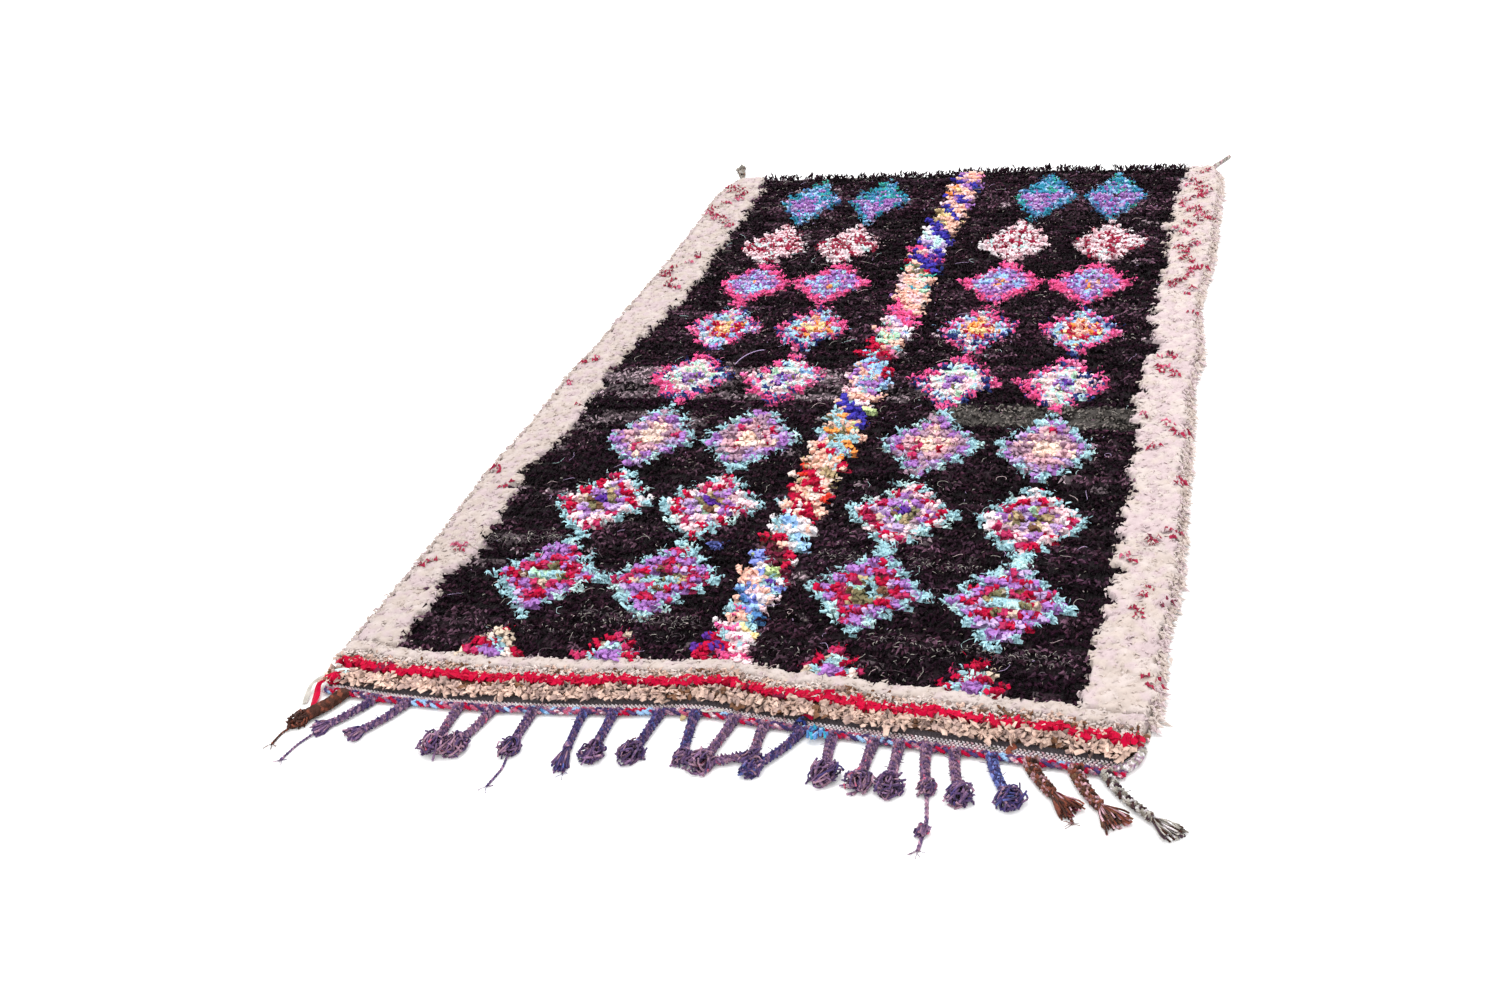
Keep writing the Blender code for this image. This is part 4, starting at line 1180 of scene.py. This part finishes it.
def yarnBall(knot, heading, half, shape, mix, rng):
    # cut yarn ends that burst from the knot, curled in a round head or combed into a brush
    count, rings, half = head["yarns"], head["rings"], half * head["grown"]
    t = np.linspace(0, 1, rings)
    side = np.array([-heading[1], heading[0], 0])
    aim = rng.normal(0, 1, (count, 3))
    aim /= np.linalg.norm(aim, axis=1, keepdims=True)
    if shape in ("round", "roving"):
        middle = knot + heading * half * 0.85 + np.array([0, 0, half * 0.12])
        swirl = np.cross(aim, rng.normal(0, 1, (count, 3)))
        swirl /= np.linalg.norm(swirl, axis=1, keepdims=True)
        goal = middle + aim * (half, half, half * 0.75) * rng.uniform(0.75, 1.18, (count, 1))
        via = middle + (aim * 0.5 + swirl * 1.25) * (half, half, half * 0.75)
        curl = head["curl"]
    else:
        broom = shape == "broom"
        long = head[shape] * rng.uniform(0.72, 1.12, (count, 1))
        spread = rng.uniform(-1, 1, (count, 1)) * half * (1.05 if broom else 1)
        lift = np.array([0, 0, 1.0]) * rng.uniform(-0.5, 0.45, (count, 1)) * half
        goal = knot + heading * long + side * spread + lift
        via = knot + heading * long * 0.4 + side * spread * (0.55 if broom else 0.9) + lift * 0.9
        curl = 0.0010 if broom else 0.0016
    start = knot + rng.normal(0, 0.0018, (count, 3))
    t = t[None, :, None]
    path = start[:, None] * (1 - t) ** 2 + via[:, None] * 2 * t * (1 - t) + goal[:, None] * t ** 2
    turn = rng.uniform(0, fullTurn, (count, 1)) + np.linspace(0, 1, rings) * rng.uniform(4, 8, (count, 1))
    path[:, :, 0] += curl * np.cos(turn) * t[..., 0]
    path[:, :, 1] += curl * np.sin(turn * 1.1 + 1) * t[..., 0]
    path[:, :, 2] += curl * 0.8 * np.sin(turn + 2) * t[..., 0]
    path[:, :, 2] = path[:, :, 2].clip(0.0018, 0.030)
    size = head["wide"] * rng.uniform(0.8, 1.15, (count, 1)) * np.ones((1, rings))
    tint = marled(mix, (count, rings), rng, held=3)
    # painted shade: the yarns are darker near the knot, deep in the head, and lighter at their ends
    tint = tint * np.linspace(0.62, 1.12, rings)[None, :, None]
    across = np.repeat(side[None], count, axis=0) + rng.normal(0, 0.2, (count, 3))
    return sweep(path, size, size, tint, across)


def knotLoops(knot, heading, size, mix, rng):
    # the plait's own strands tied over each other at the head
    turn = np.linspace(0, fullTurn, 15)
    side = np.array([-heading[1], heading[0], 0])
    path = []
    for k in range(4):
        tilt = (k - 1.5) * 0.5
        normal = heading * math.cos(tilt) + side * math.sin(tilt)
        flat = np.cross(normal, (0, 0, 1.0))
        middle = knot + heading * (k - 1.5) * 0.0022
        loop = np.outer(np.cos(turn), flat) * size * 0.5
        path.append(middle + loop + np.outer(np.sin(turn), (0, 0, 0.42 * size)))
    path = np.array(path)
    path[:, :, 2] = path[:, :, 2].clip(0.0016)
    thick = np.full(path.shape[:2], 0.0042)
    across = np.repeat(heading[None], 4, axis=0)
    return sweep(path, thick, thick, marled(mix, path.shape[:2], rng), across, sides=4)


crossPlaits = (((0.042, -1.222), (0.098, -1.198), 0.022, rosyYarn),)  # a plait lies across two heads
wispSteps = np.array([-0.003, 0.002, 0.007, 0.012])
hairSteps = np.array([0.3, 0.5, 0.62, 0.66])


def looseTail(knot, heading, tassel, ends, rng):
    # a thin tail below the head, with wisps at its tip and, on the longest, a second small knot
    aside, out, tail, tailAside = tassel
    foot = knot + heading * 0.015
    tip = knot + np.array([aside / out * 0.015 + tailAside, -0.015 - tail, -0.0045])
    bend = (foot + tip) / 2 + np.array([0.006 * math.copysign(1, aside or 1), 0, -0.002])
    foot[2] = 0.004
    parts = [twisted([foot, bend, tip], 0.0062 if tail > 0.1 else 0.0044, ends, rng)]
    turn = rng.uniform(0, fullTurn, 7)
    away = np.stack([np.cos(turn), np.sin(turn) - 0.4, 0.1 + 0 * turn], 1)
    wisp = tip + away[:, None] * wispSteps[:, None]
    wisp += rng.normal(0, 0.0009, wisp.shape)
    size = np.full((7, 4), 0.0010)
    across = np.tile([[0.1, 0.2, 1.0]], (7, 1))
    parts.append(sweep(wisp, size, size, marled(ends, (7, 4), rng), across))
    if tail > 0.1:
        small = foot * 0.36 + tip * 0.64 + (0.002, 0, 0.003)
        parts.append(knotLoops(small, heading, 0.0090, ends, rng))
        parts.append(yarnBall(small, heading, 0.0072, "round", ends, rng))
    return parts


def plaitHairs(line, wide, ends, rng):
    # short hairs that stand off the plait
    count = plait["hairs"]
    spot = rng.integers(1, len(line) - 1, count)
    turn = rng.uniform(0, fullTurn, count)
    reach = rng.uniform(0.003, 0.007, (count, 1))
    outward = np.stack([np.cos(turn), np.sin(turn) * 0.6, 0.3 + 0 * turn], 1) * wide
    hair = line[spot][:, None] + outward[:, None] * hairSteps[:, None]
    hair[:, :, :2] += (reach * np.array([0, 0.3, 0.7, 1]))[..., None] * rng.normal(0, 0.7, (count, 1, 2))
    size = np.full((count, 4), 0.0011)
    return sweep(hair, size, size, marled(ends, (count, 4), rng), outward + (0.001, 0.002, 0),
                 rootPoint=True, tipPoint=True)


def addTassels():
    rng = np.random.default_rng(31)
    plaits, heads = [], []
    t = np.linspace(0, 1, plait["rings"])
    for start, aside, out, half, tail, tailAside, shape, yarn, ends in tassels:
        top = float(bandTop(start)) - edge["flat"] - edge["cord"] * 0.45
        x = start + aside * t ** plait["bow"]
        y = top - out * t
        z = plait["height"] + 0.0012 * (1 - t) + 0.0006 * np.sin(t * 9 + start * 40)
        thin = half < 0.0115
        wide = plait["thinWide"] if thin else plait["wide"] * (1.22 if yarn is pinkBrown else 1)
        line = np.stack([x, y, z], 1)
        if shape == "roving":
            line[:4, 2] -= (0.0050, 0.0036, 0.0022, 0.0010)
            plaits.append(twisted(line + (0, 0, 0.001), 0.0200, together(yarn), rng,
                                  rings=30, yarns=6, turns=1.6))
        else:
            size = wide * (0.98 + 0.34 * (1 - t) ** 4)
            plaits.append(braid(line, size, plait["pitch"], plait["yarns"], yarn, rng))
        knot = np.array([start + aside, top - out, 0.0065])
        heading = np.array([aside * plait["bow"], -out, 0.0])
        heading /= np.linalg.norm(heading)
        ends = together(ends)
        heads.append(knotLoops(knot - heading * 0.001, heading, max(0.012, half * 0.75), ends, rng))
        heads.append(yarnBall(knot, heading, half, shape, ends, rng))
        if tail:
            heads += looseTail(knot, heading, (aside, out, tail, tailAside), ends, rng)
        plaits.append(plaitHairs(np.stack([x, y, z], 1), wide, ends, rng))
    for (startX, startY), (endX, endY), wide, yarn in crossPlaits:
        line = np.stack([np.linspace(startX, endX, 12), np.linspace(startY, endY, 12), np.full(12, 0.008)], 1)
        plaits.append(braid(line, wide, 0.022, plait["yarns"], yarn, rng))
    addPiece("tasselPlaits", plaits, yarnCloth)
    addPiece("tasselHeads", heads, yarnCloth)
    print("tassels", triangles["tasselPlaits"], triangles["tasselHeads"], "triangles")


addTassels()


def ribbon(points, wide, mix, rng, rings=16):
    points = np.array(points, float)
    t = np.linspace(0, len(points) - 1, rings)
    line = np.stack([np.interp(t, np.arange(len(points)), points[:, k]) for k in range(3)], 1)
    for _ in range(2):
        line[1:-1] = (line[:-2] + 2 * line[1:-1] + line[2:]) / 4
    size = wide * (1 + 0.2 * np.sin(np.linspace(0, 9, rings)))[None]
    tint = dyeColours[pick(mix, rng.random(1))][None] * rng.normal(1, 0.08, (1, rings, 1))
    across = np.cross(np.gradient(line, axis=0), (0, 0, 1.0))[None]
    roll = np.linspace(-0.4, 0.5, rings)[None]
    return creased(sweep(line[None], size, size * 0.30, tint, across, sides=4, roll=roll))


looseRibbons = (  # points, width, dye
    (((-0.656, -1.118, 0.016), (-0.672, -1.124, 0.017), (-0.688, -1.136, 0.012), (-0.685, -1.158, 0.005),
      (-0.680, -1.176, 0.002)), 0.0105, "stone"),
    (((-0.650, -1.120, 0.017), (-0.664, -1.124, 0.018), (-0.674, -1.136, 0.013), (-0.667, -1.157, 0.005),
      (-0.662, -1.178, 0.002)), 0.0130, "cherry"),
    (((-0.672, -1.110, 0.010), (-0.660, -1.106, 0.018), (-0.645, -1.104, 0.019), (-0.630, -1.106, 0.016)),
     0.0110, "frost"),
    (((-0.630, -1.112, 0.010), (-0.610, -1.114, 0.012), (-0.592, -1.118, 0.010)), 0.0080, "crimson"),
    (((-0.010, -1.108, 0.011), (0.004, -1.118, 0.013), (0.018, -1.112, 0.012), (0.030, -1.108, 0.010)),
     0.0050, "stone"),
    (((-0.038, -1.112, 0.008), (-0.032, -1.120, 0.006), (-0.030, -1.130, 0.003)), 0.0090, "gold"),
    (((0.150, -1.100, 0.012), (0.163, -1.104, 0.014), (0.174, -1.106, 0.012)), 0.0100, "crimson"),
    (((0.480, -1.126, 0.010), (0.470, -1.136, 0.010), (0.476, -1.150, 0.004)), 0.0090, "rust"),
)


def addLooseEnds():
    rng = np.random.default_rng(37)
    parts = [ribbon(points, wide, {name: 1}, rng) for points, wide, name in looseRibbons]
    x = 0.188 + rng.uniform(-0.009, 0.009, 9)
    y = bandTop(x) - 0.012 - rng.uniform(0, 0.005, 9)
    blueCut = dict(ragCut, strips=2, reach=(0.006, 0.012), rise=(0.008, 0.013), wide=(0.005, 0.008))
    lean = np.stack([rng.normal(0, 0.002, 9), np.full(9, -0.011)], 1)
    blues = dict(blue=40, sky=25, teal=35)
    parts.append(fan(rng, x, y, lean, np.full(9, 0.8), dyeColours[pick(blues, rng.random(9))], blueCut))
    red = dict(cherry=80, crimson=20)
    for turn in (0.3, 1.4):
        toward = np.array([math.cos(turn), math.sin(turn), 0.0])
        parts.append(knotLoops(np.array([-0.652, -1.119, 0.0130]), toward, 0.021, red, rng))
    dark = dict(navy=50, ink=40, indigo=10)
    parts.append(knotLoops(np.array([0.159, -1.120, 0.0090]), np.array([-0.5, -0.86, 0.0]), 0.018, dark, rng))
    piece = addPiece("looseRags", parts, ragCloth)
    print("loose rags", triangles["looseRags"], "triangles")


addLooseEnds()

# spare warp tied at the far corners, the far heading and the selvedges
drabYarn = dict(drab=46, stone=24, brown=16, ash=14)
greyPink = dict(stone=34, dustyPink=26, drab=24, ash=16)
sideYarn = dict(stone=46, beige=30, dustyPink=16, drab=8)


def addFarEnd():
    rng = np.random.default_rng(41)
    t = np.linspace(0, 1, 14)
    far = float(farEdge(-0.640)) - 0.012
    line = np.stack([-0.640 - 0.018 * t, far + 0.058 * t, 0.0075 + 0 * t], 1)
    heading = np.array([-0.028, 0.072, 0.0])
    heading /= np.linalg.norm(heading)
    knot = np.array([-0.658, far + 0.058, 0.0085])
    parts = [braid(line, 0.0135, 0.020, 4, drabYarn, rng), knotLoops(knot, heading, 0.017, drabYarn, rng)]
    parts.append(yarnBall(knot + heading * 0.004, heading, 0.008, "broom", drabYarn, rng))
    parts.append(yarnBall(knot + heading * 0.036, heading, 0.0095, "round", drabYarn, rng))
    left = addPiece("leftFarTie", parts, yarnCloth)
    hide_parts("corner_tie_left")
    far = float(farEdge(0.620)) - 0.012
    stick = [(0.618, far, 0.007), (0.630, far + 0.030, 0.0055), (0.646, far + 0.066, 0.0045),
             (0.664, far + 0.104, 0.004)]
    parts = [twisted(stick, 0.0085, greyPink, rng, rings=40, yarns=3, turns=6)]
    thin = [(0.616, far + 0.002, 0.006), (0.630, far + 0.036, 0.009), (0.648, far + 0.076, 0.005)]
    parts.append(twisted(thin, 0.0040, greyPink, rng))
    right = addPiece("rightFarTie", parts, yarnCloth)
    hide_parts("corner_tie_right")
    parts = []
    for start, end, mix in ((-0.645, -0.565, dict(bark=50, maroon=30, drab=20)), (-0.400, -0.235, greyPink)):
        x = np.linspace(start, end, 5)
        parts.append(twisted(np.stack([x, farEdge(x) + 0.006, np.full(5, 0.0045)], 1), 0.0052, mix, rng,
                             rings=60, yarns=2, turns=int((end - start) / 0.010)))
    for edgeAt, inward in ((leftEdge, 0.010), (rightEdge, -0.007)):
        y = np.linspace(-1.085, 1.12, 24)
        line = np.stack([edgeAt(y) + inward, y, np.full(24, 0.0034)], 1)
        parts.append(twisted(line, 0.0056, sideYarn, rng, rings=420, yarns=2, turns=130))
    edging = addPiece("selvedges", parts, yarnCloth)
    print("far ties", triangles["leftFarTie"], triangles["rightFarTie"], "selvedges", triangles["selvedges"])


addFarEnd()

# fluff, specks and stray threads on the pile
stray = dict(fringePer=2, specks=1300, threads=400, threadRings=9, hairs=900, hairRings=5)
straySteps = np.array([0, 0.4, 0.75, 1])
speckMix = dict(drab=40, stone=26, marl=14, lilac=6, blush=8, slate=6)
threadMix = dict(ash=30, stone=30, blush=16, frost=12, lilac=12)
hairMix = dict(ash=50, stone=26, slate=24)
hairyRows = (  # from and to across, place along
    (-0.56, 0.54, -0.955), (0.20, 0.54, -0.925), (-0.30, -0.08, -0.900), (0.06, 0.36, -0.700),
    (-0.56, -0.42, -0.690),
)


def fineYarn(path, thick, colour, across):
    # a fine yarn with pointed ends along each path
    size = np.ones(path.shape[:2]) * thick
    tint = np.repeat(colour[:, None], path.shape[1], axis=1)
    return sweep(path, size, size, tint, across, rootPoint=True, tipPoint=True)


def rimFringe(rng):
    # fluff that stands off the diamonds' rims
    rim, per = pile["rim"] == 1, stray["fringePer"]
    x = np.repeat(pile["x"][rim], per) + rng.normal(0, 0.005, rim.sum() * per)
    y = np.repeat(pile["y"][rim], per) + rng.normal(0, 0.005, len(x))
    colour = np.repeat(dyeColours[pile["dye"][rim]], per, axis=0) * 1.05
    turn = rng.uniform(0, fullTurn, len(x))
    reach = rng.uniform(0.006, 0.015, len(x))[:, None]
    bend = turn[:, None] + straySteps * rng.normal(0, 1.1, (len(x), 1))
    z = 0.0145 + 0.007 * np.sin(straySteps * 2.2) * rng.uniform(0.6, 1.2, (len(x), 1))
    path = np.stack([x[:, None] + reach * straySteps * np.cos(bend),
                     y[:, None] + reach * straySteps * np.sin(bend), z], 2)
    across = np.stack([-np.sin(turn), np.cos(turn), np.zeros(len(x))], 1)
    return fineYarn(path, 0.0011, colour, across)


def specks(rng):
    # specks of lint on the black field, in patches
    dark = np.flatnonzero(pile["group"] == black)
    weight = patches(pile["x"][dark] * 0.8 + 3, pile["row"][dark] * 0.4 + 3, 0.12, 61) ** 3
    spot = rng.choice(dark, stray["specks"], p=weight / weight.sum())
    x, y = (pile[k][spot] + rng.normal(0, 0.006, len(spot)) for k in ("x", "y"))
    turn = rng.uniform(0, fullTurn, len(x))
    reach = rng.uniform(0.003, 0.009, len(x))[:, None]
    z = rng.uniform(0.0185, 0.0230, (len(x), 1)) + 0.002 * np.sin(straySteps * 3)
    path = np.stack([x[:, None] + reach * straySteps * np.cos(turn)[:, None],
                     y[:, None] + reach * straySteps * np.sin(turn)[:, None], z], 2)
    thick = rng.uniform(0.0010, 0.0020, (len(x), 1))
    colour = dyeColours[pick(speckMix, rng.random(len(x)))] * 0.85
    across = np.stack([-np.sin(turn), np.cos(turn), np.zeros(len(x))], 1)
    return fineYarn(path, thick, colour, across)


def threads(rng):
    # curled stray threads on the field and the diamonds
    count, rings = stray["threads"], stray["threadRings"]
    spot = rng.choice(np.flatnonzero(pile["group"] != cream), count)
    turn = rng.uniform(0, fullTurn, (count, 1)) + np.cumsum(rng.normal(0, 0.35, (count, rings)), axis=1)
    turn += np.linspace(0, 1, rings) * rng.normal(0, 2.2, (count, 1))
    stride = rng.uniform(0.0015, 0.0055, (count, 1))
    x = pile["x"][spot][:, None] + np.cumsum(stride * np.cos(turn), axis=1)
    y = pile["y"][spot][:, None] + np.cumsum(stride * np.sin(turn), axis=1)
    z = 0.0200 + 0.0035 * np.sin(np.linspace(0, 3.1, rings)) * rng.uniform(0.2, 1.2, (count, 1))
    colour = dyeColours[pick(threadMix, rng.random(count))] * 0.9
    across = np.repeat(np.array([[0.3, 0.9, 0.1]]), count, axis=0)
    return fineYarn(np.stack([x, y, z], 2), 0.0009, colour, across)


def hairs(rng):
    # grey hairs in a few rows of the black field, clear of the dyed knots
    count, rings = stray["hairs"], stray["hairRings"]
    row = np.array(hairyRows)[rng.integers(0, len(hairyRows), count)]
    x = rng.uniform(row[:, 0], row[:, 1])
    y = row[:, 2] + rng.normal(0, 0.008, count) + 0.010 * np.sin(x * 14 + row[:, 2] * 90)
    turn = rng.uniform(0, fullTurn, (count, 1)) + np.linspace(0, 1, rings) * rng.normal(0, 1.6, (count, 1))
    stride = rng.uniform(0.0016, 0.0034, (count, 1))
    z = rng.uniform(0.0185, 0.0220, (count, 1)) + 0.002 * np.sin(np.linspace(0, 3, rings))
    path = np.stack([x[:, None] + np.cumsum(stride * np.cos(turn), axis=1),
                     y[:, None] + np.cumsum(stride * np.sin(turn), axis=1), z], 2)
    dyed = pile["group"] != black
    path = path[np.hypot(x[:, None] - pile["x"][dyed], y[:, None] - pile["y"][dyed]).min(1) > 0.012]
    colour = dyeColours[pick(hairMix, rng.random(len(path)))]
    across = np.repeat(np.array([[0.3, 0.9, 0.1]]), len(path), axis=0)
    return fineYarn(path, 0.0012, colour, across)


def longThread():
    # one long lilac thread left of the middle
    arc = np.linspace(0, 1, 16)
    line = np.stack([-0.301 + 0.049 * arc ** 1.8, -0.003 + 0.074 * np.sin(arc * 1.5), 0.0245 + 0 * arc], 1)
    colour = dyeColours[dyeNames.index("lilac")][None]
    return fineYarn(line[None], 0.0021, colour, np.array([[0, 1.0, 0]]))


def addStrays():
    rng = np.random.default_rng(43)
    parts = [rimFringe(rng), specks(rng), threads(rng), hairs(rng), longThread()]
    addPiece("fluffAndThreads", parts, woolCloth)
    print("strays", triangles["fluffAndThreads"], "triangles")


addStrays()

print("triangles in all", sum(triangles.values()), "most in a piece", max(triangles.values()))
